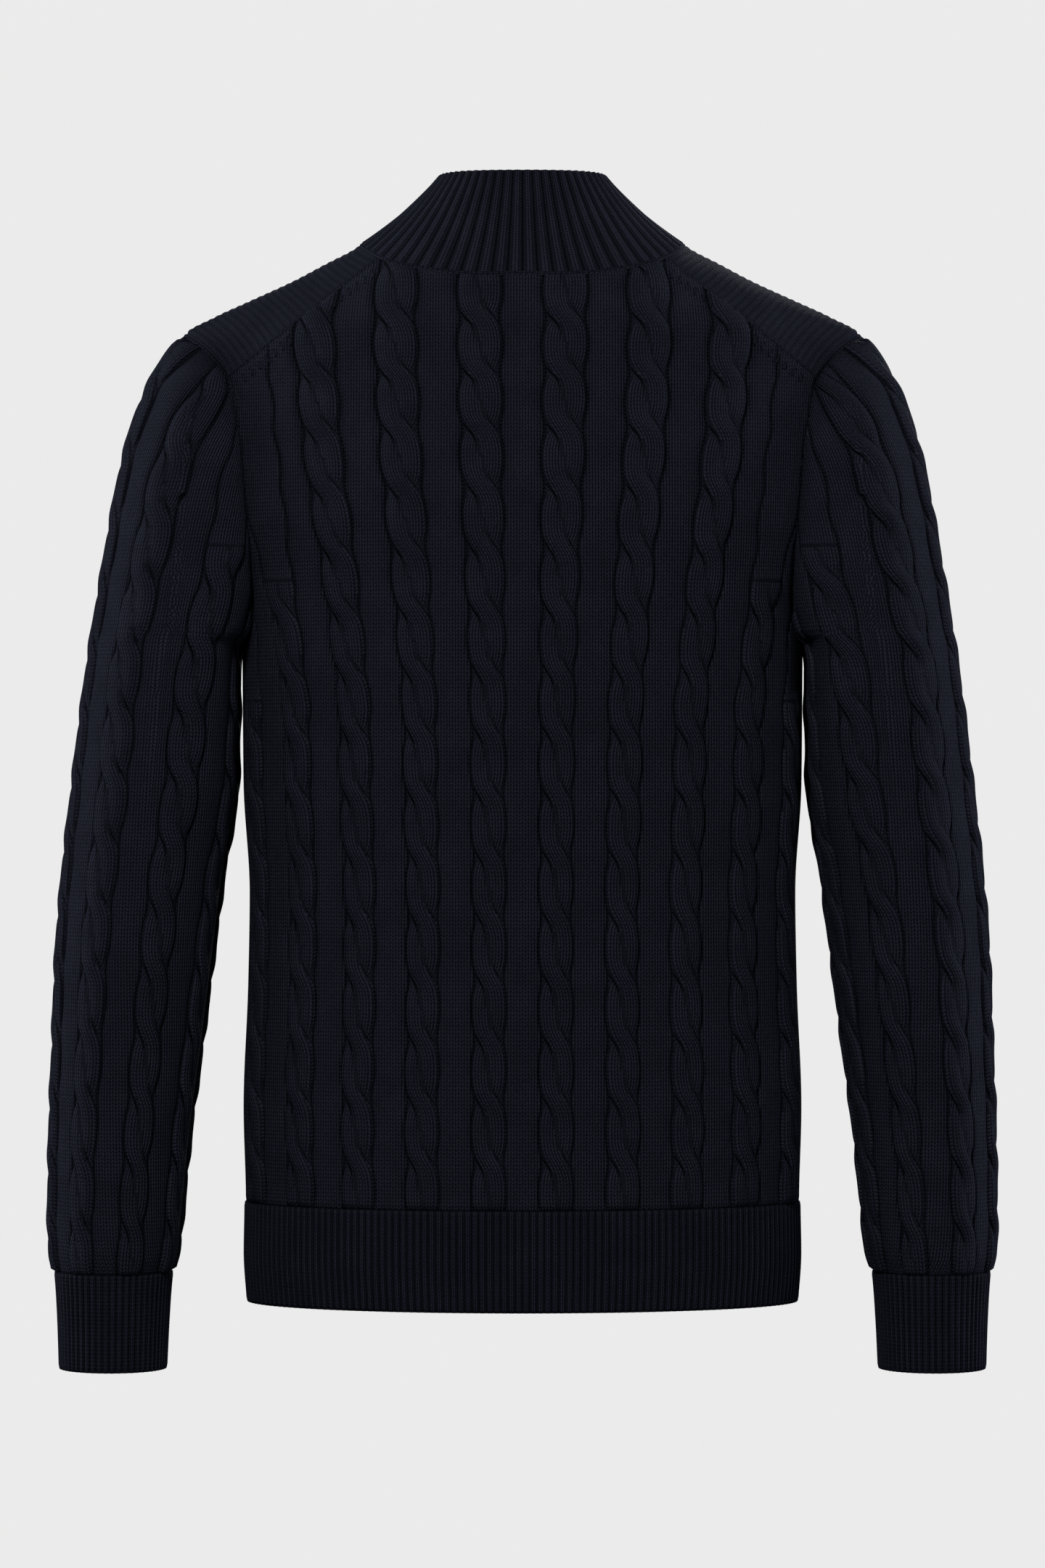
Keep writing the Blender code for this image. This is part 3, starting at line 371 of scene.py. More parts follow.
def sleeve_closed_ring(angle, z):
    outer, inner = sleeve_outer(z), sleeve_inner(z)
    depth, power = sleeve_depth(z), 2 / sleeve_square(z)
    centre, half = (outer + inner) / 2, (outer - inner) / 2
    cos, sin = np.cos(angle), np.sin(angle)
    hollow = cos < 0
    x = np.where(hollow, centre - half * np.abs(cos) ** power, centre + half * cos)
    y = np.where(hollow, np.copysign(depth * np.abs(sin) ** power, sin), depth * sin)
    return stacked(x, y, z)


def sleeve_limit(z):
    ratio = np.minimum(armhole_depth(z) / sleeve_depth(z), 1.0)
    return np.where(z <= ARMPIT, math.pi, math.pi - np.arcsin(ratio ** (sleeve_square(z) / 2)))


def sleeve_ring(turn, z):
    turn, z = np.broadcast_arrays(np.asarray(turn, float), np.asarray(z, float))
    limit = sleeve_limit(z)
    points = sleeve_closed_ring(turn * limit, z)
    edge = sleeve_closed_ring(np.copysign(limit, turn), z)
    goal = np.where((turn >= 0)[..., None], sleeve_end(z, True), sleeve_end(z, False))
    above = (z > ARMPIT)[..., None]
    return points + np.where(above, (goal - edge) * np.abs(turn)[..., None] ** 3, 0.0)


SLEEVE_HEIGHTS = np.concatenate([
    np.arange(-733.0, ARMPIT, 3.0),
    np.arange(ARMPIT, SHOULDER_TIP - 0.1, 0.8),
])
sleeve_rings = Rings(sleeve_ring, SLEEVE_HEIGHTS)


def sleeve_point(arc, z):
    return sleeve_ring(sleeve_rings.turn(arc, z), z)


def sleeve_normal(arc, z):
    arc, z = np.broadcast_arrays(np.asarray(arc, float), np.asarray(z, float))
    reach = sleeve_rings.reach(z)
    near, far = np.maximum(arc - 1.5, -reach), np.minimum(arc + 1.5, reach)
    upper = np.minimum(z + 2.0, np.where(z <= ARMPIT, ARMPIT, SHOULDER_TIP - 0.2))
    lower = np.maximum(z - 2.0, CUFF_BOTTOM)
    share = arc / reach
    across = sleeve_point(far, z) - sleeve_point(near, z)
    along = (sleeve_point(share * sleeve_rings.reach(upper), upper)
             - sleeve_point(share * sleeve_rings.reach(lower), lower))
    return unit(np.cross(across, along))


# ---- neck, collar and yokes ----

def neck_plan(angle):
    power = 2 / NECK_SQUARE
    depth = np.where(np.cos(angle) >= 0, NECK_BACK, -NECK_FRONT)
    x = np.copysign(NECK_HALF_WIDTH * np.abs(np.sin(angle)) ** power, np.sin(angle))
    y = np.copysign(depth * np.abs(np.cos(angle)) ** power, np.cos(angle))
    return x, y


NECK_ANGLES = np.linspace(0.0, math.pi, 361)
NECK_HEIGHTS = torso_height(*neck_plan(NECK_ANGLES))


def neck_point(angle):
    x, y = neck_plan(angle)
    return stacked(x, y, np.interp(np.abs(angle), NECK_ANGLES, NECK_HEIGHTS))


def collar_top(angle):
    power = 2 / COLLAR_TOP_SQUARE
    middle = (COLLAR_TOP_BACK + COLLAR_TOP_FRONT) / 2
    half = (COLLAR_TOP_BACK - COLLAR_TOP_FRONT) / 2
    cos, sin = np.cos(angle), np.sin(angle)
    fall = ease((np.abs(angle) - COLLAR_LEVEL_TO) / (math.pi - COLLAR_LEVEL_TO))
    height = COLLAR_TOP_BACK_Z + (COLLAR_TOP_FRONT_Z - COLLAR_TOP_BACK_Z) * fall
    return stacked(np.copysign(COLLAR_TOP_HALF_WIDTH * np.abs(sin) ** power, sin),
                   middle + np.copysign(half * np.abs(cos) ** power, cos), height)


def collar_point(angle, level):
    angle, level = np.broadcast_arrays(np.asarray(angle, float), np.asarray(level, float))
    base, top = neck_point(angle), collar_top(angle)
    control = base + (top - base) * np.array([0.52, 0.52, 0.42])
    t = level[..., None]
    return base * (1 - t) ** 2 + control * 2 * t * (1 - t) + top * t ** 2


def collar_normal(angle, level):
    across = collar_point(angle - 0.02, level) - collar_point(angle + 0.02, level)
    above = collar_point(angle, np.minimum(level + 0.05, 1.0))
    below = collar_point(angle, np.maximum(level - 0.05, 0.0))
    up = above - below
    return unit(np.cross(across, up))


def collar_angle(x, level):
    """Angle near the centre front at which the collar passes a given x."""
    angles = np.linspace(math.pi * 0.75, math.pi, 400)
    return float(np.interp(-x, -collar_point(angles, level)[:, 0], angles))


def yoke_neck_angle(back):
    goal = YOKE_NECK_BACK if back else YOKE_NECK_FRONT
    if back:
        angles = np.linspace(0.0, math.pi / 2, 600)
        return float(np.interp(goal, neck_plan(angles)[0], angles))
    angles = np.linspace(math.pi, math.pi / 2, 600)
    return float(np.interp(goal, neck_plan(angles)[0], angles))


YOKE_START = {back: yoke_neck_angle(back) for back in (True, False)}


def yoke_seam(t, back):
    start = neck_point(YOKE_START[back])
    end = sleeve_end(YOKE_ARM_HEIGHT, back)
    t = np.asarray(t, float)
    x, z = start[0] + (end[0] - start[0]) * t, start[2] + (end[2] - start[2]) * t
    depth = torso_back(z) if back else torso_front(z)
    y = depth * np.maximum(0.0, 1 - (x / torso_width(z)) ** 2) ** fall_power(z)
    return stacked(x, y if back else -y, z)


CAP_HEIGHTS = np.arange(SHOULDER_TIP, YOKE_ARM_HEIGHT - 0.1, -0.25)


def armhole_height(depth):
    return np.interp(depth, armhole_depth(CAP_HEIGHTS), CAP_HEIGHTS)


def yoke_across(z, back):
    share = np.arcsin(np.minimum(1.0, armhole_depth(z) / armhole_depth(YOKE_ARM_HEIGHT))) / (math.pi / 2)
    return share if back else -share


RIDGE_X = np.linspace(NECK_HALF_WIDTH, float(torso_width(SHOULDER_TIP)), 80)
RIDGE_Z = np.append(torso_height(RIDGE_X[:-1], np.zeros(79)), SHOULDER_TIP)


def yoke_half(r, a, back):
    rise, fall = np.sin(a * math.pi / 2), 1 - np.cos(a * math.pi / 2)

    def arch(t):
        seam = yoke_seam(t, back)
        ridge_x = NECK_HALF_WIDTH + (RIDGE_X[-1] - NECK_HALF_WIDTH) * t
        ridge_z = np.interp(ridge_x, RIDGE_X, RIDGE_Z)
        return stacked(ridge_x + (seam[..., 0] - ridge_x) * fall, seam[..., 1] * rise,
                       ridge_z + (seam[..., 2] - ridge_z) * fall)
    neck = neck_point(math.pi / 2 + (YOKE_START[back] - math.pi / 2) * a)
    arm = sleeve_end(armhole_height(armhole_depth(YOKE_ARM_HEIGHT) * rise), back)
    share = r[..., None]
    return arch(r) + (neck - arch(0.0 * r)) * (1 - share) + (arm - arch(0.0 * r + 1.0)) * share


def yoke_point(r, across):
    """Left yoke: r from the neck (0) to the armhole (1), across from front (-1) to back (1)."""
    r, across = np.broadcast_arrays(np.asarray(r, float), np.asarray(across, float))
    a = np.abs(across)
    return np.where((across >= 0)[..., None], yoke_half(r, a, True), yoke_half(r, a, False))


def yoke_normal(r, across):
    r, across = np.broadcast_arrays(np.asarray(r, float), np.asarray(across, float))
    along = yoke_point(np.minimum(r + 0.01, 1.0), across) - yoke_point(np.maximum(r - 0.01, 0.0), across)
    over = yoke_point(r, np.minimum(across + 0.02, 1.0)) - yoke_point(r, np.maximum(across - 0.02, -1.0))
    return unit(np.cross(along, over))


# ---- seams, near which both pieces thicken along a shared direction ----

def seam_curves():
    """Left half of the armhole, yoke and neck seams: (points, shared directions)."""
    curves = {}
    for back in (True, False):
        k = np.arange(61) / 60
        z = ARMPIT + (SHOULDER_TIP - 0.3 - ARMPIT) * k ** 2 * (3 - 2 * k)
        points = sleeve_end(z, back)
        reach = sleeve_rings.reach(z)
        normal = sleeve_normal(reach if back else -reach, z)
        on_yoke = np.clip((z - YOKE_ARM_HEIGHT) / YOKE_BLEND + 0.5, 0.0, 1.0)[:, None]
        body = torso_normal(points) * (1 - on_yoke)
        body = body + yoke_normal(1.0, yoke_across(np.maximum(z, YOKE_ARM_HEIGHT), back)) * on_yoke
        normal = normal + body
        normal[:, 2] -= UNDERARM_TILT * np.maximum(0.0, 1 - (z - ARMPIT) / 30)
        name = "back" if back else "front"
        curves["armhole_" + name] = (points, unit(normal))
        t = np.arange(31) / 30
        points = yoke_seam(t, back)
        normal = torso_normal(points) + yoke_normal(t, 1.0 if back else -1.0)
        curves["yoke_" + name] = (points, unit(normal))
    angles = np.linspace(0.0, math.pi, 81)
    points = neck_point(angles)
    curves["neck"] = (points, unit(torso_normal(points) + collar_normal(angles, 0.0)))
    return curves


SEAMS = seam_curves()
SEGMENT_START = np.concatenate([points[:-1] for points, _ in SEAMS.values()])
SEGMENT_RUN = np.concatenate([np.diff(points, axis=0) for points, _ in SEAMS.values()])
SEGMENT_FROM = np.concatenate([normals[:-1] for _, normals in SEAMS.values()])
SEGMENT_TO = np.concatenate([normals[1:] for _, normals in SEAMS.values()])
SEGMENT_LENGTH = np.maximum((SEGMENT_RUN ** 2).sum(1), 1e-9)


def wall_directions(points, normals):
    """The directions in which walls thicken, and each point's distance from the nearest seam."""
    side = np.copysign(1.0, points[:, :1])
    mirror = np.concatenate([side, np.ones_like(side), np.ones_like(side)], axis=1)
    place, away = points * mirror, normals * mirror
    directions, distances = away.copy(), np.full(len(points), MITRE_REACH * 2)
    for start in range(0, len(points), 20000):
        chunk = slice(start, start + 20000)
        offset = place[chunk, None, :] - SEGMENT_START[None]
        t = np.clip((offset * SEGMENT_RUN[None]).sum(2) / SEGMENT_LENGTH[None], 0.0, 1.0)
        gap = np.sqrt(((offset - SEGMENT_RUN[None] * t[..., None]) ** 2).sum(2))
        nearest = gap.argmin(1)
        rows = np.arange(len(nearest))
        distance, share = gap[rows, nearest], t[rows, nearest][:, None]
        shared = SEGMENT_FROM[nearest] * (1 - share) + SEGMENT_TO[nearest] * share
        pull = np.clip(1.1 * (1 - distance / MITRE_REACH), 0.0, 1.0)[:, None]
        directions[chunk] = unit(away[chunk] * (1 - pull) + shared * pull)
        distances[chunk] = np.minimum(distance, MITRE_REACH * 2)
    return directions * mirror, distances


# ---- surfaces of (arc, height), for the left half or the whole ----

def on_torso(back):
    def surface(arc, z):
        points = torso_point(arc, z, back)
        return wall_directions(points, torso_normal(points)), points
    return surface


def on_sleeve(side):
    def surface(arc, z):
        points = sleeve_point(arc, z)
        directions, distances = wall_directions(points, sleeve_normal(arc, z))
        mirror = np.array([side, 1.0, 1.0])
        return (directions * mirror, distances), points * mirror
    return surface


# ---- relief of the knit ----

def bump(x, width):
    return np.exp(-(x / width) ** 2)


def cable_relief(x, half_width, phase, lean):
    """Height of a rope cable above the wall, the upper strand's edge, the crease mask (painted shade and a
    bump dip beside the upper strand) and the stitches' own coordinate.

    x runs across the cable in mm, half_width is its half width, phase is 0 at a crossing, and lean is the
    side to which the upper strand runs on its way down.
    """
    t = phase - np.round(phase)
    swing = np.tanh(t / 0.17) / math.tanh(0.5 / 0.17)
    radius = half_width * 0.60
    throw = (half_width - radius) * 0.98
    over_x, under_x = lean * throw * swing, -lean * throw * swing
    slope = throw / 0.17 / 40.0 * (1 - np.tanh(t / 0.17) ** 2)
    narrow = 1 / np.sqrt(1 + slope ** 2)
    over_high = CABLE_TOP + OVER_RISE * bump(t, 0.24)
    under_high = CABLE_TOP - UNDER_DIP * bump(t, 0.2)

    def strand(centre, height):
        away = np.abs(x - centre) / (radius / narrow)
        return height * np.maximum(1 - away ** 2.6, 0.0) ** 0.5, away
    over, over_away = strand(over_x, over_high)
    under, _ = strand(under_x, under_high)
    filled = ease((np.abs(t) - 0.25) / 0.2)
    body = CABLE_TOP * 0.84 * filled * np.maximum(1 - (np.abs(x) / half_width) ** 4, 0.0)
    height = np.maximum(np.maximum(over, under), np.maximum(body, -0.2))
    behind = lean * (x - over_x) < 0
    # strength of the painted shade line and bump dip in the crease beside the upper strand
    crease = np.where(behind, bump(t - 0.07, 0.24), 0.7 * bump(t + 0.07, 0.18))
    on_over = over >= under
    stitch = np.where(on_over, x - over_x, x - under_x) / WALE
    return height, np.minimum(over_away, 3.0), crease, stitch


class Knit:
    """Cables, grooves and plain bands over a panel with cable columns."""

    def __init__(self, pitch, phase, lean):
        self.pitch, self.phase, self.lean = pitch, phase, lean

    def half_width(self, phase, start):
        """Half width of a cable in column spacings; wider above its first crossing."""
        t = phase - np.round(phase)
        wave = CABLE_WIDE + (CABLE_PINCH - CABLE_WIDE) * bump(t, 0.26)
        if start is None:
            return wave + 0 * phase
        return wave + 0.11 * ease((start - 0.2 - phase) / 2.5)

    def relief(self, start, offset, arc, z):
        """Lift above the wall, painted groove shade, stitch coordinate, strand edge and crease mask; offset
        is in column spacings.
        """
        phase = self.phase(z)
        pitch = self.pitch(z)
        half = self.half_width(phase, start) * pitch
        x = offset * pitch
        height, edge, crease, stitch = cable_relief(x, half, phase, self.lean)
        grown = 1.0 if start is None else ease((phase - start + 0.75) / 0.4)
        from_edge = np.abs(x) - half
        inside = from_edge < 0
        height = np.where(inside, height * grown * ease(-from_edge / 1.6), 0.0)
        # a crown along the plain band between the grooves
        band = 0.35 * ease((from_edge - GROOVE_HALF) / 6.0)
        widened = GROOVE_HALF * (1 + GROOVE_WIDENS * ease((z - GROOVE_WIDENS_FROM) / GROOVE_WIDENS_OVER))
        groove = bump(from_edge - (widened - GROOVE_HALF), widened)
        depth = 1.0 if start is None else ease((phase - start + 5.0) / 1.0)
        lift = height + np.where(inside, 0.0, band) - GROOVE_DEPTH * groove * depth
        # painted shade in the groove beside each cable
        groove_shade = bump(from_edge - (widened - GROOVE_HALF), widened * 0.85) * depth
        stitch = np.where(inside & (grown > 0.5), stitch, arc / WALE)
        return lift, groove_shade, stitch, edge, crease * inside * grown


def cell_stations(half_width, pitch, first):
    """Offsets across one column cell from its centre, in spacings, that keep to the groove's edges."""
    groove = GROOVE_HALF / pitch
    inner = [half_width - 2.6 * groove, half_width - 1.4 * groove, half_width - 0.6 * groove]
    outer = [half_width, half_width + 0.6 * groove, half_width + 1.3 * groove]
    middle = np.linspace(-1, 1, 11)[1:-1]
    edge = half_width + 2.6 * groove
    plain = np.linspace(0.0, 1.0, 4)
    stations = []
    stations += [-(edge + (0.5 - edge) * s) for s in plain[::-1]][(0 if first else 1):]
    stations += [-v for v in outer[::-1]] + [-v for v in inner[::-1]]
    stations += [inner[0] * m for m in middle]
    stations += inner + outer
    stations += [edge + (0.5 - edge) * s for s in plain]
    return stations


def lattice(knit, centres, heights, end_low, end_high):
    """Arrays (rows x stations) of arc, relief, painted groove shade and stitch over the flat domain."""
    phase, pitch = knit.phase(heights), knit.pitch(heights)
    blocks = []
    for number, (centre, start) in enumerate(centres):
        half = knit.half_width(phase, start)
        offsets = np.stack(np.broadcast_arrays(*cell_stations(half, pitch, number == 0)), axis=1)
        arc = (centre + offsets) * pitch[:, None]
        z = np.broadcast_to(heights[:, None], arc.shape)
        blocks.append((arc, z, *knit.relief(start, offsets, arc, z)))
    for edge, centre in ((end_low, centres[0][0] - 0.5), (end_high, centres[-1][0] + 0.5)):
        if edge is None:
            continue
        steps = max(2, int(abs(edge - centre) * COLUMN_ABOUT / PLAIN_STEP))
        run = np.linspace(0, 1, steps + 1)
        run = run[:-1] if edge < centre else run[1:]
        column = (edge + (centre - edge) * run) if edge < centre else (centre + (edge - centre) * run)
        arc = column[None, :] * pitch[:, None]
        z = np.broadcast_to(heights[:, None], arc.shape)
        nothing = np.zeros(arc.shape)
        plain = (arc, z, nothing + 0.35, nothing, arc / WALE, nothing + BEYOND_STRANDS, nothing)
        blocks = [plain] + blocks if edge < centre else blocks + [plain]
    return [np.concatenate(parts, axis=1) for parts in zip(*blocks)]


# ---- from a flat lattice to a shell ----

def outline_distance(points, outline):
    """Distance to an outline, positive inside, and the nearest place on it."""
    start = outline
    end = np.roll(outline, -1, axis=0)
    run = end - start
    length = np.maximum((run ** 2).sum(1), 1e-9)
    distance, nearest = np.empty(len(points)), np.empty_like(points)
    for first in range(0, len(points), 8000):
        chunk = points[first:first + 8000]
        offset = chunk[:, None, :] - start[None]
        t = np.clip((offset * run[None]).sum(2) / length[None], 0.0, 1.0)
        gap = ((offset - run[None] * t[..., None]) ** 2).sum(2)
        pick = gap.argmin(1)
        rows = np.arange(len(chunk))
        place = start[pick] + run[pick] * t[rows, pick][:, None]
        x, y = chunk[:, None, 0], chunk[:, None, 1]
        crosses = (start[None, :, 1] > y) != (end[None, :, 1] > y)
        rise = np.where(np.abs(run[None, :, 1]) < 1e-9, 1e-9, run[None, :, 1])
        at = start[None, :, 0] + run[None, :, 0] * (y - start[None, :, 1]) / rise
        odd = (crosses & (x < at)).sum(1) % 2 == 1
        distance[first:first + 8000] = np.sqrt(gap[rows, pick]) * np.where(odd, 1, -1)
        nearest[first:first + 8000] = place
    return distance, nearest


def boundary_loop(quads):
    """Vertices round the edge of a set of quads, in order."""
    edges = np.concatenate([quads[:, [k, (k + 1) % 4]] for k in range(4)])
    forward = set(map(tuple, edges.tolist()))
    after = {}
    for a, b in forward:
        if (b, a) not in forward:
            after.setdefault(a, []).append(b)
    loops = []
    while after:
        first = next(iter(after))
        loop, here = [first], after[first].pop()
        if not after[first]:
            del after[first]
        while here != first:
            loop.append(here)
            step = after[here].pop()
            if not after[here]:
                del after[here]
            here = step
        loops.append(loop)
    return max(loops, key=len)


def cells(index):
    """The lattice's quads, by the numbers of their corners."""
    corners = [index[:-1, :-1], index[:-1, 1:], index[1:, 1:], index[1:, :-1]]
    return np.stack(corners, axis=-1).reshape(-1, 4)


def trimmed(arrays, outline):
    """Keeps the lattice's cells that lie in an outline and pulls their edge onto it."""
    arc, z = arrays[0], arrays[1]
    flat_points = np.stack([arc.ravel(), z.ravel()], axis=1)
    distance, nearest = outline_distance(flat_points, outline)
    rows, columns = arc.shape
    index = np.arange(rows * columns).reshape(rows, columns)
    quads = cells(index)
    keep = distance[quads].mean(1) > 0
    # cells that hang on by a corner go, so that the edge is one loop
    for _ in range(3):
        grid = np.zeros((rows - 1, columns - 1), bool)
        grid.ravel()[np.nonzero(keep)[0]] = True
        padded = np.pad(grid, 1)
        beside = (padded[:-2, 1:-1].astype(int) + padded[2:, 1:-1] + padded[1:-1, :-2] + padded[1:-1, 2:])
        diagonal = np.zeros_like(grid)
        a, b = grid[:-1, :-1], grid[1:, 1:]
        c, d = grid[:-1, 1:], grid[1:, :-1]
        diagonal[:-1, :-1] |= a & b & ~c & ~d
        diagonal[:-1, 1:] |= c & d & ~a & ~b
        grid &= (beside >= 2) & ~diagonal
        new = grid.ravel()
        if (new == keep).all():
            break
        keep = new.copy()
    quads = quads[keep]
    loop = boundary_loop(quads)
    flat_points[loop] = nearest[loop]
    used = np.unique(quads)
    renumber = np.full(rows * columns, -1)
    renumber[used] = np.arange(len(used))
    values = [array.ravel()[used] for array in arrays[2:]]
    return flat_points[used], renumber[quads], renumber[np.array(loop)], np.abs(distance[used]), values


def shell(name, surface, flat_points, quads, loop, edge_distance, values):
    """A closed wall: the knitted outside, a plain inside and the rim between them."""
    lift, groove_shade, stitch, edge, crease = values
    edge_distance = edge_distance.copy()
    edge_distance[loop] = 0.0
    lift = lift * ease(edge_distance / EDGE_FADE)
    (directions, _), base = surface(flat_points[:, 0], flat_points[:, 1])
    outer = base + directions * (WALL + lift)[:, None]
    border = [Vector(flat_points[k]) for k in loop]
    corners = flat_points[loop]
    span_low, span_high = corners.min(0), corners.max(0)
    xs = np.arange(span_low[0] + INNER_STEP / 2, span_high[0], INNER_STEP)
    zs = np.arange(span_low[1] + INNER_STEP / 2, span_high[1], INNER_STEP)
    grid = np.stack(np.meshgrid(xs, zs), axis=-1).reshape(-1, 2)
    gap, _ = outline_distance(grid, corners)
    grid = grid[gap > INNER_STEP * 0.4]
    result = delaunay_2d_cdt(border + [Vector(p) for p in grid], [], [list(range(len(border)))], 1, 1e-6)
    flat_inner = np.array([list(v) for v in result[0]])
    _, inner_base = surface(flat_inner[:, 0], flat_inner[:, 1])
    count = len(outer)
    faces = [list(q) for q in quads.tolist()]
    faces += [[count + k for k in reversed(face)] for face in result[2]]
    place = {source: k for k, links in enumerate(result[3]) for source in links if source < len(border)}
    for k in range(len(loop)):
        after = (k + 1) % len(loop)
        rim = [int(loop[k]), count + place[k], count + place[after], int(loop[after])]
        faces.append(rim if place[k] != place[after] else rim[:2] + rim[3:])
    points = np.concatenate([outer, inner_base])
    uv = np.concatenate([np.stack([stitch, flat_points[:, 1] / COURSE], axis=1),
                         np.stack([flat_inner[:, 0] / WALE, flat_inner[:, 1] / COURSE], axis=1)])
    shade = np.concatenate([groove_shade, np.full(len(flat_inner), INSIDE_SHADE)])
    wear = np.concatenate([flat_points, flat_inner + np.array([0.0, -800.0])])
    rest = np.zeros(len(flat_inner))
    return knit_object(name, points, faces, uv, shade, wear, {
        "strand_edge": np.concatenate([edge, rest + BEYOND_STRANDS]),
        "crease": np.concatenate([crease, rest]),
    })


def knit_object(name, points, faces, uv, shade, chart, marks=None):
    """A mesh object with its stitch coordinates, painted groove shade and a chart for textures."""
    mesh = bpy.data.meshes.new(name)
    counts = np.array([len(f) for f in faces])
    flat_faces = np.concatenate([np.asarray(f) for f in faces]).astype(np.int32)
    mesh.vertices.add(len(points))
    mesh.vertices.foreach_set("co", (points * MM).astype(np.float32).ravel())
    mesh.loops.add(len(flat_faces))
    mesh.loops.foreach_set("vertex_index", flat_faces)
    mesh.polygons.add(len(faces))
    starts = np.concatenate([[0], np.cumsum(counts)[:-1]]).astype(np.int32)
    mesh.polygons.foreach_set("loop_start", starts)
    mesh.update(calc_edges=True)
    mesh.polygons.foreach_set("use_smooth", np.ones(len(faces), bool))
    layer = mesh.uv_layers.new(name="Stitches")
    layer.uv.foreach_set("vector", uv[flat_faces].astype(np.float32).ravel())
    spread_over = chart - chart.min(0)
    scale = 1 / spread_over.max()
    baked = mesh.uv_layers.new(name="OFBake")
    baked.uv.foreach_set("vector", (spread_over[flat_faces] * scale).astype(np.float32).ravel())
    # the groove attribute holds painted shade
    for mark, value in {"groove": shade, **(marks or {})}.items():
        mesh.attributes.new(mark, "FLOAT", "POINT").data.foreach_set("value", value.astype(np.float32))
    item = bpy.data.objects.new(name, mesh)
    bpy.context.scene.collection.objects.link(item)
    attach(item, BODY)
    return item


# ---- the panels ----

def sampled_phase(heights_of_phase, low_phase, high_phase):
    phases = np.linspace(low_phase, high_phase, 800)
    heights = heights_of_phase(phases)
    order = np.argsort(heights)
    return lambda z: np.interp(z, heights[order], phases[order])


torso_phase = sampled_phase(lambda p: smooth(TORSO_CROSSINGS, 1, p), -3.0, 16.0)


def sleeve_phase(z):
    return (SLEEVE_FIRST_CROSSING - z) / SLEEVE_CROSSING_PITCH


def torso_pitch(back):
    def pitch(z):
        even = torso_rings[back].reach(np.clip(z, HEM_BOTTOM, EVEN_BELOW)) / COLUMNS_TO_SIDE
        return np.where(z < EVEN_BELOW, even, torso_spread(z) * even / SPREAD[-1][1])
    return pitch


def sleeve_pitch(z):
    even = sleeve_rings.reach(np.minimum(z, EVEN_BELOW)) / 4
    return np.where(z < EVEN_BELOW, even, sleeve_spread(z) * even / SPREAD[-1][2])


def shrunk(outline, gap):
    """Moves an anticlockwise outline inward."""
    before = unit(outline - np.roll(outline, 1, axis=0))
    after = unit(np.roll(outline, -1, axis=0) - outline)
    inward = np.stack([-before[:, 1] - after[:, 1], before[:, 0] + after[:, 0]], axis=1)
    bend = np.maximum(0.5, np.sqrt((1 + (before * after).sum(1)) / 2))
    return outline + unit(inward) / bend[:, None] * gap


def torso_outline(back):
    """Edge of a torso panel's left half in the flat, from the hem's centre round to the neck's centre."""
    rows = np.linspace(HEM_SEAM, ARMPIT, 60)
    side = np.stack([torso_rings[back].reach(rows), rows], axis=1)
    rows = ARMPIT + (YOKE_ARM_HEIGHT - ARMPIT) * np.linspace(0, 1, 81)[1:] ** 2
    ends = sleeve_end(rows, back)
    armhole = np.stack([torso_arc(ends[:, 0], rows, back), rows], axis=1)
    seam = yoke_seam(np.linspace(1, 0, 40)[1:], back)
    yoke_line = np.stack([torso_arc(seam[:, 0], seam[:, 2], back), seam[:, 2]], axis=1)
    centre = 0.0 if back else math.pi
    neck = neck_point(np.linspace(YOKE_START[back], centre, 70)[1:])
    neck_line = np.stack([torso_arc(neck[:, 0], neck[:, 2], back), neck[:, 2]], axis=1)
    inner = 0.0 if back else ZIP_HALF_GAP
    if not back:
        neck_line = neck_line[neck_line[:, 0] > inner + 1]
        neck_line = np.concatenate([neck_line, [[inner, neck_line[-1, 1]]]])
    bottom = np.stack([np.linspace(inner, side[0, 0], 60)[:-1], np.full(59, HEM_SEAM)], axis=1)
    return np.concatenate([bottom, side, armhole, yoke_line, neck_line])


TORSO_STARTS = {0.5: None, 1.5: None, 2.5: None, 3.5: 5, 4.5: 7}


def back_panel():
    right = torso_outline(True)
    left = right[::-1][:-1] * np.array([-1.0, 1.0])
    outline = shrunk(np.concatenate([right[1:], left]), SEAM)
    knit = Knit(torso_pitch(True), torso_phase, -1)
    starts = sorted(TORSO_STARTS.items())
    centres = [(-c, s) for c, s in starts[::-1]] + starts
    heights = np.arange(HEM_SEAM - 1.0, -8.0, ROW)
    arrays = lattice(knit, centres, heights, -TORSO_SPAN, TORSO_SPAN)
    return shell("back_panel_knit", on_torso(True), *trimmed(arrays, outline))


def front_panel(side):
    outline = torso_outline(False)
    if side < 0:
        outline = outline[::-1] * np.array([-1.0, 1.0])
    outline = shrunk(outline, SEAM)
    knit = Knit(torso_pitch(False), torso_phase, 1)
    starts = sorted(TORSO_STARTS.items())
    centres = starts if side > 0 else [(-c, s) for c, s in starts[::-1]]
    heights = np.arange(HEM_SEAM - 1.0, -10.0, ROW)
    span = (None, TORSO_SPAN) if side > 0 else (-TORSO_SPAN, None)
    arrays = lattice(knit, centres, heights, *span)
    name = "front_left_knit" if side > 0 else "front_right_knit"
    return shell(name, on_torso(False), *trimmed(arrays, outline))


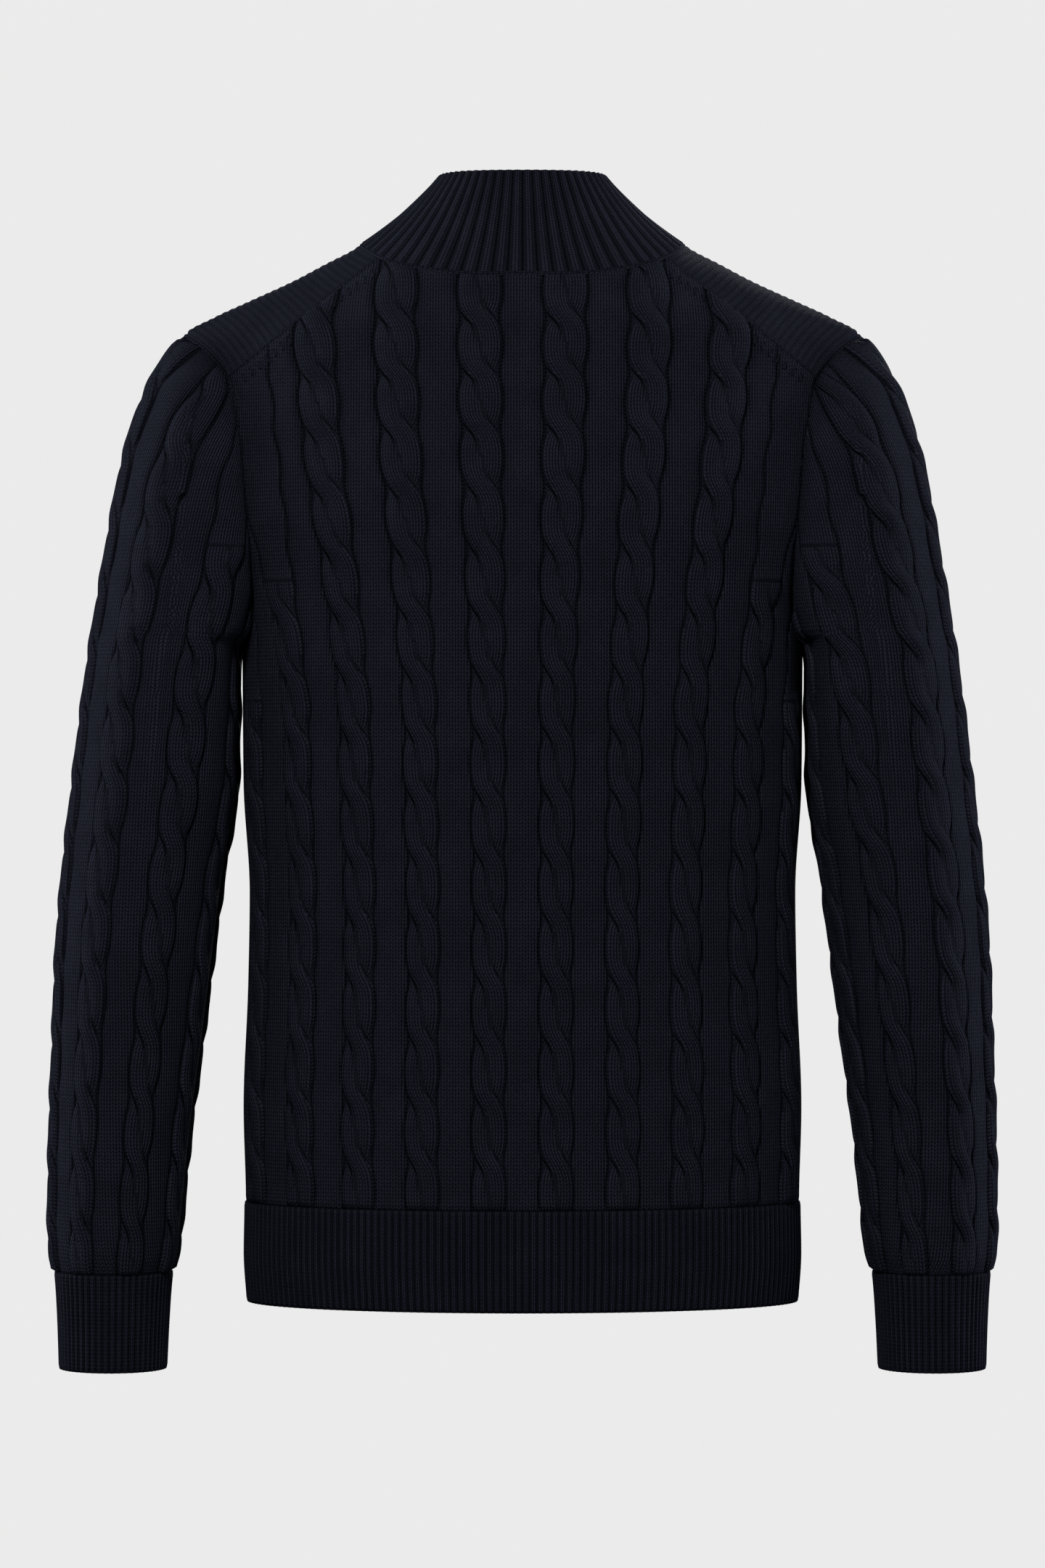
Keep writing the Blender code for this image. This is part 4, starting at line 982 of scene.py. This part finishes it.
def sleeve(side):
    """Sleeve cut in one piece and joined along the underarm line."""
    rows = np.linspace(CUFF_SEAM, ARMPIT, 70)
    seam = np.stack([sleeve_rings.reach(rows), rows], axis=1)
    k = np.linspace(0, 1, 91)[1:]
    cap_rows = ARMPIT + (SHOULDER_TIP - 0.4 - ARMPIT) * k ** 2 * (3 - 2 * k)
    cap = np.stack([sleeve_rings.reach(cap_rows), cap_rows], axis=1)
    bottom = np.stack([np.linspace(0, seam[0, 0], 40)[:-1], np.full(39, CUFF_SEAM)], axis=1)
    right = np.concatenate([bottom, seam, cap])
    left = right[::-1][:-1] * np.array([-1.0, 1.0])
    outline = shrunk(np.concatenate([right, left]), SLEEVE_SEAM)
    knit = Knit(sleeve_pitch, sleeve_phase, side)
    shift = SLEEVE_COLUMN_SHIFT
    starts = {0: None, 1: None, 2: 2, 3: 3}
    centres = [(-(n + 1 - shift), s) for n, s in sorted(starts.items(), reverse=True)]
    centres += [(n + shift, s) for n, s in sorted(starts.items())]
    heights = np.arange(CUFF_SEAM - 1.0, SHOULDER_TIP + 1.0, ROW)
    arrays = lattice(knit, centres, heights, *SLEEVE_SPAN)
    name = "sleeve_left_knit" if side > 0 else "sleeve_right_knit"
    return shell(name, on_sleeve(side), *trimmed(arrays, outline))


# ---- ribbed bands ----

def rib_profile(share, ribs):
    """Height (0 to 1) of ribs and the painted shade in their grooves: round crests and narrow grooves."""
    wave = 0.5 - 0.5 * np.cos(2 * math.pi * ribs * share)
    return wave ** 0.7, (1 - wave) ** 2


def ribbed_band(name, surface, ribs, rows, row_height, high=RIB_HIGH, per_rib=8, closed=False,
                shading=1.0):
    """A closed strip of ribs; surface(share, level) gives directions and base points."""
    inner_per_rib = 2
    columns = ribs * per_rib + (0 if closed else 1)
    share = np.arange(columns) / (ribs * per_rib)
    levels = np.linspace(0.0, 1.0, rows)
    grid_share, grid_level = np.meshgrid(share, levels)
    directions, base = surface(grid_share.ravel(), grid_level.ravel())
    # painted shade in the ribs' grooves
    profile, groove_shade = rib_profile(grid_share.ravel(), ribs)
    ends = ease(np.minimum(grid_level.ravel(), 1 - grid_level.ravel()) * rows / 1.6 + 0.6)
    outer = base + directions * (WALL + high * profile * ends)[:, None]
    inner_columns = ribs * inner_per_rib + (0 if closed else 1)
    inner_share = np.arange(inner_columns) / (ribs * inner_per_rib)
    inner_rows = max(2, rows // 4)
    grid_a, grid_b = np.meshgrid(inner_share, np.linspace(0.0, 1.0, inner_rows))
    _, inner_base = surface(grid_a.ravel(), grid_b.ravel())
    count = len(outer)

    def grid_faces(width, height, shift, flip):
        index = np.arange(width * height).reshape(height, width) + shift
        right = np.roll(index, -1, axis=1) if closed else index[:, 1:]
        left = index if closed else index[:, :-1]
        order = [left[:-1], right[:-1], right[1:], left[1:]]
        quads = np.stack(order[::-1] if flip else order, axis=-1)
        return quads.reshape(-1, 4).tolist()
    faces = grid_faces(columns, rows, 0, False)
    faces += grid_faces(inner_columns, inner_rows, count, True)
    step = per_rib // inner_per_rib

    def rim(outer_row, inner_row, flip):
        found = []
        for k in range(ribs * inner_per_rib):
            fan = [(outer_row * columns + (k * step + n) % columns) for n in range(step + 1)]
            near = count + inner_row * inner_columns + k % inner_columns
            far = count + inner_row * inner_columns + (k + 1) % inner_columns
            loop = fan + [far, near]
            found.append(loop if flip else loop[::-1])
        return found
    faces += rim(0, 0, False)
    faces += rim(rows - 1, inner_rows - 1, True)
    if not closed:
        ratio = (rows - 1) / (inner_rows - 1)
        for edge_outer, edge_inner, flip in ((0, 0, False), (columns - 1, inner_columns - 1, True)):
            for k in range(inner_rows - 1):
                first, last = round(k * ratio), round((k + 1) * ratio)
                chain = [row * columns + edge_outer for row in range(first, last + 1)]
                loop = chain + [count + (k + 1) * inner_columns + edge_inner,
                                count + k * inner_columns + edge_inner]
                faces.append(loop if not flip else loop[::-1])
    points = np.concatenate([outer, inner_base])
    width = ribs * 4.6
    courses = grid_level.ravel() * row_height / COURSE
    stitch = np.stack([grid_share.ravel() * ribs * 2 + 0.5, courses], axis=1)
    inner_stitch = np.stack([grid_a.ravel() * ribs * 2, grid_b.ravel() * row_height / COURSE], axis=1)
    chart = np.stack([grid_share.ravel() * width, grid_level.ravel() * row_height], axis=1)
    inner_chart = np.stack([grid_a.ravel() * width, grid_b.ravel() * row_height - row_height - 8], axis=1)
    shade = np.concatenate([groove_shade * shading, np.full(len(inner_base), INSIDE_SHADE)])
    return knit_object(name, points, faces, np.concatenate([stitch, inner_stitch]), shade,
                       np.concatenate([chart, inner_chart]))


def hem(name, back, side):
    """Ribbed hem band: the whole back, or one front from the side to the zip."""
    def surface(share, level):
        z = (HEM_SEAM + SEAM) + (HEM_BOTTOM - HEM_SEAM - SEAM) * level
        reach = torso_rings[back].reach(z) - SEAM
        if back:
            arc = (1 - 2 * share) * reach
        elif side > 0:
            arc = ZIP_HALF_GAP + (reach - ZIP_HALF_GAP) * share
        else:
            arc = -(ZIP_HALF_GAP + (reach - ZIP_HALF_GAP) * (1 - share))
        points = torso_point(arc, z, back)
        return torso_normal(points), points
    length = float(torso_rings[back].reach(HEM_SEAM)) * (2 if back else 1)
    ribs = round(length / HEM_RIB_PITCH / 4) * 4
    return ribbed_band(name, surface, ribs, BAND_ROWS, HEM_SEAM - HEM_BOTTOM, per_rib=6)


def cuff(name, side):
    """Ribbed cuff, a closed tube."""
    def surface(share, level):
        z = (CUFF_SEAM + SLEEVE_SEAM) + (CUFF_BOTTOM - CUFF_SEAM - SLEEVE_SEAM) * level
        arc = side * (1 - 2 * share) * sleeve_rings.reach(z) * 0.9999
        points = sleeve_point(arc, z)
        mirror = np.array([side, 1.0, 1.0])
        return sleeve_normal(arc, z) * mirror, points * mirror
    return ribbed_band(name, surface, CUFF_RIBS, BAND_ROWS, CUFF_SEAM - CUFF_BOTTOM, closed=True)


def collar():
    """Ribbed stand collar from one side of the zip round to the other."""
    stop = math.pi - 0.12
    angles = np.linspace(-stop, stop, 481)
    along = collar_point(angles, 0.3)
    arcs = np.concatenate([[0.0], np.cumsum(np.linalg.norm(np.diff(along, axis=0), axis=1))])
    levels = np.linspace(0.0, 1.0, 41)
    limits = np.array([collar_angle(ZIP_HALF_GAP, level) for level in levels])

    def surface(share, level):
        level = 0.006 + 0.994 * level
        angle = np.interp((1 - share) * arcs[-1], arcs, angles)
        limit = np.interp(level, levels, limits)
        angle = np.copysign(np.minimum(np.abs(angle) * limit / stop, limit), angle)
        points = collar_point(angle, level)
        directions, _ = wall_directions(points, collar_normal(angle, level))
        return directions, points
    return ribbed_band("collar_rib", surface, COLLAR_RIBS, 44, 90.0)


def yoke(name, side):
    """Ribbed strip over the shoulder, from the collar to the sleeve."""
    inset = 0.0028

    def surface(share, level):
        share = share if side < 0 else 1 - share
        r, across = inset + (1 - 1.2 * inset) * share, (1 - 2 * level) * 0.99
        points = yoke_point(r, across)
        directions, _ = wall_directions(points, yoke_normal(r, across))
        mirror = np.array([side, 1.0, 1.0])
        return directions * mirror, points * mirror
    return ribbed_band(name, surface, YOKE_RIBS, 36, 110.0, high=YOKE_RIB_HIGH, shading=0.45)


# ---- seams as rows of linked stitches ----

def resampled(points, normals, step):
    lengths = np.concatenate([[0.0], np.cumsum(np.linalg.norm(np.diff(points, axis=0), axis=1))])
    count = max(4, int(lengths[-1] / step))
    at = np.linspace(0, lengths[-1], count)
    line = np.stack([np.interp(at, lengths, points[:, k]) for k in range(3)], axis=1)
    away = unit(np.stack([np.interp(at, lengths, normals[:, k]) for k in range(3)], axis=1))
    return at, line, away


def seam_cord(name, curves, radius, lift, pitch=3.2, tip_radius=0.0):
    """Rounded rows of slanting stitches that lie over seams: curves is a list of (points, directions).

    tip_radius is added near the shoulder's tip, where it fills the corner between yoke and sleeve.
    """
    sides = 6
    all_points, faces, uv, chart, shade = [], [], [], [], []
    base = 0
    for row, (points, normals) in enumerate(curves):
        at, line, away = resampled(points, normals, pitch / 4)
        tangent = unit(np.gradient(line, axis=0))
        across = unit(np.cross(tangent, away))
        wave = np.abs(np.sin(math.pi * at / pitch))
        for k in range(sides):
            angle = 2 * math.pi * k / sides
            twist = 0.25 * np.sin(2 * math.pi * at / pitch + angle)
            size = radius * (0.78 + 0.34 * wave + 0.12 * twist) + tip_radius * ease((line[:, 2] + 78) / 14)
            ring = (line + away * lift + across * (np.cos(angle) * size)[:, None]
                    + away * (np.sin(angle) * size * 0.7)[:, None])
            all_points.append(ring)
            uv.append(np.stack([np.full(len(at), k / sides * 2), at / pitch], axis=1))
            chart.append(np.stack([np.full(len(at), row * 12.0 + k * 1.5), at], axis=1))
            # painted shade in the pinches between the cord's stitches
            shade.append(0.35 * (1 - wave))
        count = len(line)
        for k in range(sides):
            a, b = base + k * count, base + ((k + 1) % sides) * count
            index = np.arange(count - 1)
            faces += np.stack([a + index, b + index, b + index + 1, a + index + 1], axis=1).tolist()
        faces.append([base + k * count for k in range(sides)][::-1])
        faces.append([base + k * count + count - 1 for k in range(sides)])
        base += count * sides
    return knit_object(name, np.concatenate(all_points), faces, np.concatenate(uv),
                       np.concatenate(shade), np.concatenate(chart))


def mirrored(curve):
    points, normals = curve
    mirror = np.array([-1.0, 1.0, 1.0])
    return points * mirror, normals * mirror


MARK_SLANT = 0.35


def fashioning_marks(name, side, back):
    """Short slanting stitches a little below the yoke's seam, where the panel was narrowed."""
    place = on_torso(back)
    curves = []
    for t in np.arange(0.06, 0.95, MARK_PITCH / YOKE_SEAM_LENGTH):
        seam = yoke_seam(t, back)
        arc = float(torso_arc(seam[0], seam[2], back))
        run = np.array([0.0, 0.5, 1.0]) * MARK_LENGTH
        aside = arc - MARK_OFFSET * MARK_SLANT - run * MARK_SLANT
        (away, _), points = place(side * aside, seam[2] - MARK_OFFSET - run)
        curves.append((points, away))
    return seam_cord(name, curves, 0.7, WALL + 0.65, pitch=MARK_LENGTH * 2)


def seams():
    made = []
    for side, word in ((1, "left"), (-1, "right")):
        turn = (lambda c: c) if side > 0 else mirrored
        (back, back_away), (front, front_away) = SEAMS["armhole_back"], SEAMS["armhole_front"]
        loop = (np.concatenate([back, front[::-1]]), np.concatenate([back_away, front_away[::-1]]))
        made.append(seam_cord(f"armhole_seam_{word}", [turn(loop)], 0.95, WALL - 0.6, tip_radius=0.9))
        for back, place in ((True, "back"), (False, "front")):
            made.append(fashioning_marks(f"fashioning_{place}_{word}", side, back))
        made.append(seam_cord(f"yoke_seams_{word}", [turn(SEAMS["yoke_back"]), turn(SEAMS["yoke_front"])],
                              1.0, WALL - 0.3))
    points, normals = SEAMS["neck"]
    keep = points[:, 0] > ZIP_HALF_GAP + 1.5
    keep[0] = True
    half = (points[keep], normals[keep])
    whole = (np.concatenate([mirrored(half)[0][::-1][:-1], half[0]]),
             np.concatenate([mirrored(half)[1][::-1][:-1], half[1]]))
    made.append(seam_cord("neck_seam", [whole], 1.35, WALL - 0.1, pitch=3.6))
    return made


# ---- the zip ----

def front_line(run, x):
    """Points and outward directions on the front opening, run mm above the hem's edge."""
    run = np.asarray(run, float)
    straight = NECK_HEIGHTS[-1] - HEM_BOTTOM
    z = HEM_BOTTOM + np.minimum(run, straight)
    low_points = torso_point(np.full(run.shape, float(x)), z, False)
    low_out = torso_normal(low_points)
    level = np.clip((run - straight) / COLLAR_FRONT_LENGTH, 0.0, 1.0)
    angle = np.array([collar_angle(max(abs(x), 0.2), v) for v in level])
    high_points = collar_point(angle, level)
    high_points[:, 0] = x
    high_out = collar_normal(angle, level)
    high_out[:, 0] = np.copysign(high_out[:, 0], x)
    on_collar = (run > straight)[:, None]
    return np.where(on_collar, high_points, low_points), np.where(on_collar, high_out, low_out)


TOOTH_PITCH = 2.5
FIRST_TOOTH = 13.5          # above the hem's edge, clear of the bottom box
PAST_SLIDER = 3.0           # how far the teeth run on inside the slider
TOOTH_LAYERS = ((-1.3, 1.0), (0.9, 1.0), (1.25, 0.72))
TOOTH_WIDE, TOOTH_TALL = 0.93, 0.98
TOOTH_OUTLINE = ((0.7, -0.85), (-3.0, -0.75), (-3.0, 0.75), (0.7, 0.85), (1.5, 0.45), (1.5, -0.45))


def zip_teeth():
    """Two rows of metal teeth that mesh on the centre line, from the bottom box to the slider."""
    top = NECK_HEIGHTS[-1] - HEM_BOTTOM + COLLAR_FRONT_LENGTH
    points, faces = [], []
    for side in (-1, 1):
        start = FIRST_TOOTH + (TOOTH_PITCH / 2 if side > 0 else 0.0)
        runs = np.arange(start, top - SLIDER_DROP + PAST_SLIDER, TOOTH_PITCH)
        line, out = front_line(runs, 0.0)
        out[:, 0] = 0.0
        out = unit(out)
        up = np.stack([np.zeros(len(runs)), out[:, 2], -out[:, 1]], axis=1)
        for centre, away, along in zip(line, out, up):
            first = len(points)
            for lift, grow in TOOTH_LAYERS:
                for x, v in TOOTH_OUTLINE:
                    inner = (x + 0.7) * grow - 0.7
                    aside = np.array([-side * inner * TOOTH_WIDE, 0, 0])
                    points.append(centre + aside + along * v * grow * TOOTH_TALL + away * lift)
            size = len(TOOTH_OUTLINE)
            for ring in range(2):
                for k in range(size):
                    a, b = first + ring * size + k, first + ring * size + (k + 1) % size
                    quad = [a, b, b + size, a + size]
                    faces.append(quad if side > 0 else quad[::-1])
            cap = [first + 2 * size + k for k in range(size)]
            floor = [first + k for k in range(size)][::-1]
            faces.append(cap if side > 0 else cap[::-1])
            faces.append(floor if side > 0 else floor[::-1])
    mesh = bpy.data.meshes.new("zip_teeth")
    mesh.from_pydata([tuple(p * MM) for p in points], [], faces)
    item = bpy.data.objects.new("zip_teeth", mesh)
    bpy.context.scene.collection.objects.link(item)
    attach(item, BODY)
    return item


# ---- materials ----

def new_material(name):
    material = bpy.data.materials.new(name)
    material.use_nodes = True
    tree = material.node_tree
    return material, tree, tree.nodes["Principled BSDF"]


def math_node(tree, operation, *values, clamp=False):
    node = tree.nodes.new("ShaderNodeMath")
    node.operation = operation
    node.use_clamp = clamp
    for socket, value in zip(node.inputs, values):
        if isinstance(value, (int, float)):
            socket.default_value = value
        else:
            tree.links.new(value, socket)
    return node.outputs[0]


def attribute(tree, name):
    node = tree.nodes.new("ShaderNodeAttribute")
    node.attribute_name = name
    return node.outputs["Fac"]


def noise(tree, scale, detail):
    place = tree.nodes.new("ShaderNodeTexCoord")
    node = tree.nodes.new("ShaderNodeTexNoise")
    node.inputs["Scale"].default_value = scale
    node.inputs["Detail"].default_value = detail
    tree.links.new(place.outputs["Object"], node.inputs["Vector"])
    return node.outputs["Fac"]


def parabola(tree, value):
    """1 in the middle of a unit interval and 0 at its ends."""
    centred = math_node(tree, "MULTIPLY_ADD", value, 2.0, -1.0)
    return math_node(tree, "SUBTRACT", 1.0, math_node(tree, "MULTIPLY", centred, centred))


def mixed(tree, factor, first, second):
    node = tree.nodes.new("ShaderNodeMix")
    node.data_type = "RGBA"
    for name, value in (("Factor", factor), ("A", first), ("B", second)):
        if isinstance(value, tuple):
            node.inputs[name].default_value = (*value, 1)
        else:
            tree.links.new(value, node.inputs[name])
    return node.outputs["Result"]


# Noise of the yarn: scale, detail
FUZZ = (1100.0, 3.0)
HEATHER = (45.0, 5.0)
WOOL = {
    "Roughness": 0.92,
    "Specular IOR Level": 0.04,
    "Sheen Weight": 0.015,
    "Sheen Roughness": 0.45,
    "Sheen Tint": (0.55, 0.65, 1.0, 1.0),
}


def knit_material(name, depth, cables):
    """Wool in stocking stitch: V-shaped stitches from the stitch coordinates, with painted shade at the
    stitches' edges and in the grooves.
    """
    material, tree, shader = new_material(name)
    stitches = tree.nodes.new("ShaderNodeUVMap")
    stitches.uv_map = "Stitches"
    split = tree.nodes.new("ShaderNodeSeparateXYZ")
    tree.links.new(stitches.outputs[0], split.inputs[0])
    across = math_node(tree, "SUBTRACT", math_node(tree, "FRACT", split.outputs[0]), 0.5)
    from_middle = math_node(tree, "MULTIPLY", math_node(tree, "ABSOLUTE", across), 2.0)
    slanted = math_node(tree, "MULTIPLY_ADD", from_middle, -0.6, split.outputs[1])
    leg, along = parabola(tree, from_middle), parabola(tree, math_node(tree, "FRACT", slanted))
    stitch = math_node(tree, "MULTIPLY", leg, math_node(tree, "MULTIPLY_ADD", along, 0.6, 0.4))
    fuzz = noise(tree, *FUZZ)
    heather = noise(tree, *HEATHER)

    # painted shade: darker toward each stitch's edges and lighter on its crest, with the yarn's own heather
    # and fuzz tone
    stitch_shade_and_heather = math_node(tree, "MULTIPLY_ADD", stitch, 0.75, math_node(tree, "MULTIPLY_ADD", fuzz, 0.9, -0.35))
    patches = math_node(tree, "MULTIPLY_ADD", heather, 0.9, 0.55)
    stitch_shade_and_heather = math_node(tree, "MULTIPLY", stitch_shade_and_heather, patches, clamp=True)
    colour = mixed(tree, stitch_shade_and_heather, NAVY_DARK, NAVY_LIGHT)
    # painted shade in the grooves, broken into bars of purl stitches across them
    bars = math_node(tree, "COSINE", math_node(tree, "MULTIPLY", split.outputs[1], 2 * math.pi))
    rungs = math_node(tree, "MULTIPLY_ADD", bars, 0.22, 0.85)
    shade = math_node(tree, "MULTIPLY", attribute(tree, "groove"), rungs)
    height = math_node(tree, "MULTIPLY_ADD", fuzz, 0.3, stitch)
    if cables:
        # the crease beside each upper strand: a painted shade line, and a dip in the bump
        edge = attribute(tree, "strand_edge")
        crease = attribute(tree, "crease")
        beyond = math_node(tree, "SUBTRACT", edge, CREASE_PLACE)
        narrow = math_node(tree, "MULTIPLY", math_node(tree, "ABSOLUTE", beyond), -1 / CREASE_WIDTH)
        line = math_node(tree, "MULTIPLY", math_node(tree, "ADD", narrow, 1.0, clamp=True), crease)
        shade = math_node(tree, "MAXIMUM", shade, math_node(tree, "MULTIPLY", line, 1.3))
        height = math_node(tree, "MULTIPLY_ADD", line, -1.6, height)
    shade = math_node(tree, "MULTIPLY", shade, 0.95, clamp=True)
    # painted shade mixed into the yarn's colour
    tree.links.new(mixed(tree, shade, colour, PAINTED_SHADE_NAVY), shader.inputs["Base Color"])
    bump_node = tree.nodes.new("ShaderNodeBump")
    bump_node.inputs["Strength"].default_value = 1.0
    bump_node.inputs["Distance"].default_value = depth
    tree.links.new(height, bump_node.inputs["Height"])
    tree.links.new(bump_node.outputs[0], shader.inputs["Normal"])
    for socket, value in WOOL.items():
        shader.inputs[socket].default_value = value
    return material


def plain_material(name, colour, roughness, metallic=0.0):
    material, _, shader = new_material(name)
    shader.inputs["Base Color"].default_value = (*colour, 1)
    shader.inputs["Roughness"].default_value = roughness
    shader.inputs["Metallic"].default_value = metallic
    return material


def dress(item, material):
    item.data.materials.clear()
    item.data.materials.append(material)


# ---- build ----

def build():
    cable_knit = knit_material("cable_knit_wool", STITCH_DEPTH, cables=True)
    rib_knit = knit_material("rib_knit_wool", STITCH_DEPTH * 0.7, cables=False)
    metal = plain_material("zip_metal", METAL, 0.35, 0.9)
    tape = plain_material("zip_tape", TAPE_NAVY, 0.85)

    panels = {
        "back_panel": back_panel(),
        "front_left": front_panel(1),
        "front_right": front_panel(-1),
        "sleeve_left": sleeve(1),
        "sleeve_right": sleeve(-1),
    }
    bands = {
        "collar": collar(),
        "yoke_left": yoke("yoke_left_rib", 1),
        "yoke_right": yoke("yoke_right_rib", -1),
        "hem_back": hem("hem_back_rib", True, 1),
        "hem_front_left": hem("hem_front_left_rib", False, 1),
        "hem_front_right": hem("hem_front_right_rib", False, -1),
        "cuff_left": cuff("cuff_left_rib", 1),
        "cuff_right": cuff("cuff_right_rib", -1),
    }
    for node, item in panels.items():
        dress(item, cable_knit)
        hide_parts(node)
    for node, item in bands.items():
        dress(item, rib_knit)
        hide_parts(node)
    for item in seams():
        dress(item, rib_knit)
    teeth = zip_teeth()
    dress(teeth, metal)
    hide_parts("zip_chain")
    for node in ("zip_bottom_box", "zip_slider", "zip_pull"):
        dress(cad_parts[node], metal)
    for node in ("zip_tape_left", "zip_tape_right"):
        dress(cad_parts[node], tape)
    return panels, bands


# ---- stage, light and camera, as in the photo ----

PHOTO_HEIGHT = 2160
NECK_ROW = 345              # the photo's row at the base of the neck
SCALE_MM = 0.475            # mm a pixel at the garment's mid-plane
CAMERA_AWAY = 4.0
CENTRE_HEIGHT = (NECK_ROW - PHOTO_HEIGHT / 2) * SCALE_MM * MM
LONG_SIDE = PHOTO_HEIGHT * SCALE_MM * MM
SENSOR = 36.0
BACKDROP_RADIUS = 14.0
WHITE = (1, 1, 1)
SKY = (0.85, 0.9, 1.0)
SKY_STRENGTH = 0.08
# Lamps: name, place in metres, power, size in metres, colour
LAMPS = (
    ("key", (0.9, 3.2, 1.5), 56, (0.7, 0.7), WHITE),
    ("fill", (-2.4, 2.6, 0.2), 12, (1.4, 1.8), WHITE),
    ("front_key", (-0.9, -3.2, 1.5), 56, (0.7, 0.7), WHITE),
    ("rim_left", (1.8, -0.5, 0.1), 22, (0.6, 2.0), SKY),
    ("rim_right", (-1.8, -0.5, 0.1), 22, (0.6, 2.0), SKY),
)


def area_light(name, place, power, size, colour):
    lamp = bpy.data.lights.new(name, "AREA")
    lamp.energy = power
    lamp.shape = "RECTANGLE"
    lamp.size, lamp.size_y = size
    lamp.color = colour
    item = bpy.data.objects.new(name, lamp)
    item.location = place
    item.rotation_euler = (Vector((0, 0, CENTRE_HEIGHT)) - Vector(place)).to_track_quat("-Z", "Y").to_euler()
    bpy.context.scene.collection.objects.link(item)
    return item


def stage():
    """A pale backdrop all round and soft studio light, with the camera behind the wearer's back."""
    bpy.ops.mesh.primitive_uv_sphere_add(segments=32, ring_count=16, radius=BACKDROP_RADIUS)
    backdrop = bpy.context.object
    backdrop.name = "backdrop"
    backdrop.visible_diffuse = backdrop.visible_glossy = backdrop.visible_shadow = False
    material, tree, _ = new_material("paper")
    glow = tree.nodes.new("ShaderNodeEmission")
    glow.inputs["Color"].default_value = (*PAPER, 1)
    tree.links.new(glow.outputs[0], tree.nodes["Material Output"].inputs["Surface"])
    backdrop.data.materials.append(material)
    world = bpy.data.worlds.new("studio")
    world.use_nodes = True
    world.node_tree.nodes["Background"].inputs["Color"].default_value = (*SKY, 1)
    world.node_tree.nodes["Background"].inputs["Strength"].default_value = SKY_STRENGTH
    bpy.context.scene.world = world
    for lamp in LAMPS:
        area_light(*lamp)
    camera_data = bpy.data.cameras.new("camera")
    camera_data.sensor_width = SENSOR
    camera_data.lens = SENSOR * CAMERA_AWAY / LONG_SIDE
    camera = bpy.data.objects.new("camera", camera_data)
    camera.location = (0, CAMERA_AWAY, CENTRE_HEIGHT)
    camera.rotation_euler = (math.pi / 2, 0, math.pi)
    bpy.context.scene.collection.objects.link(camera)
    bpy.context.scene.camera = camera
    bpy.context.scene.view_settings.view_transform = "Standard"


panels, bands = build()
stage()
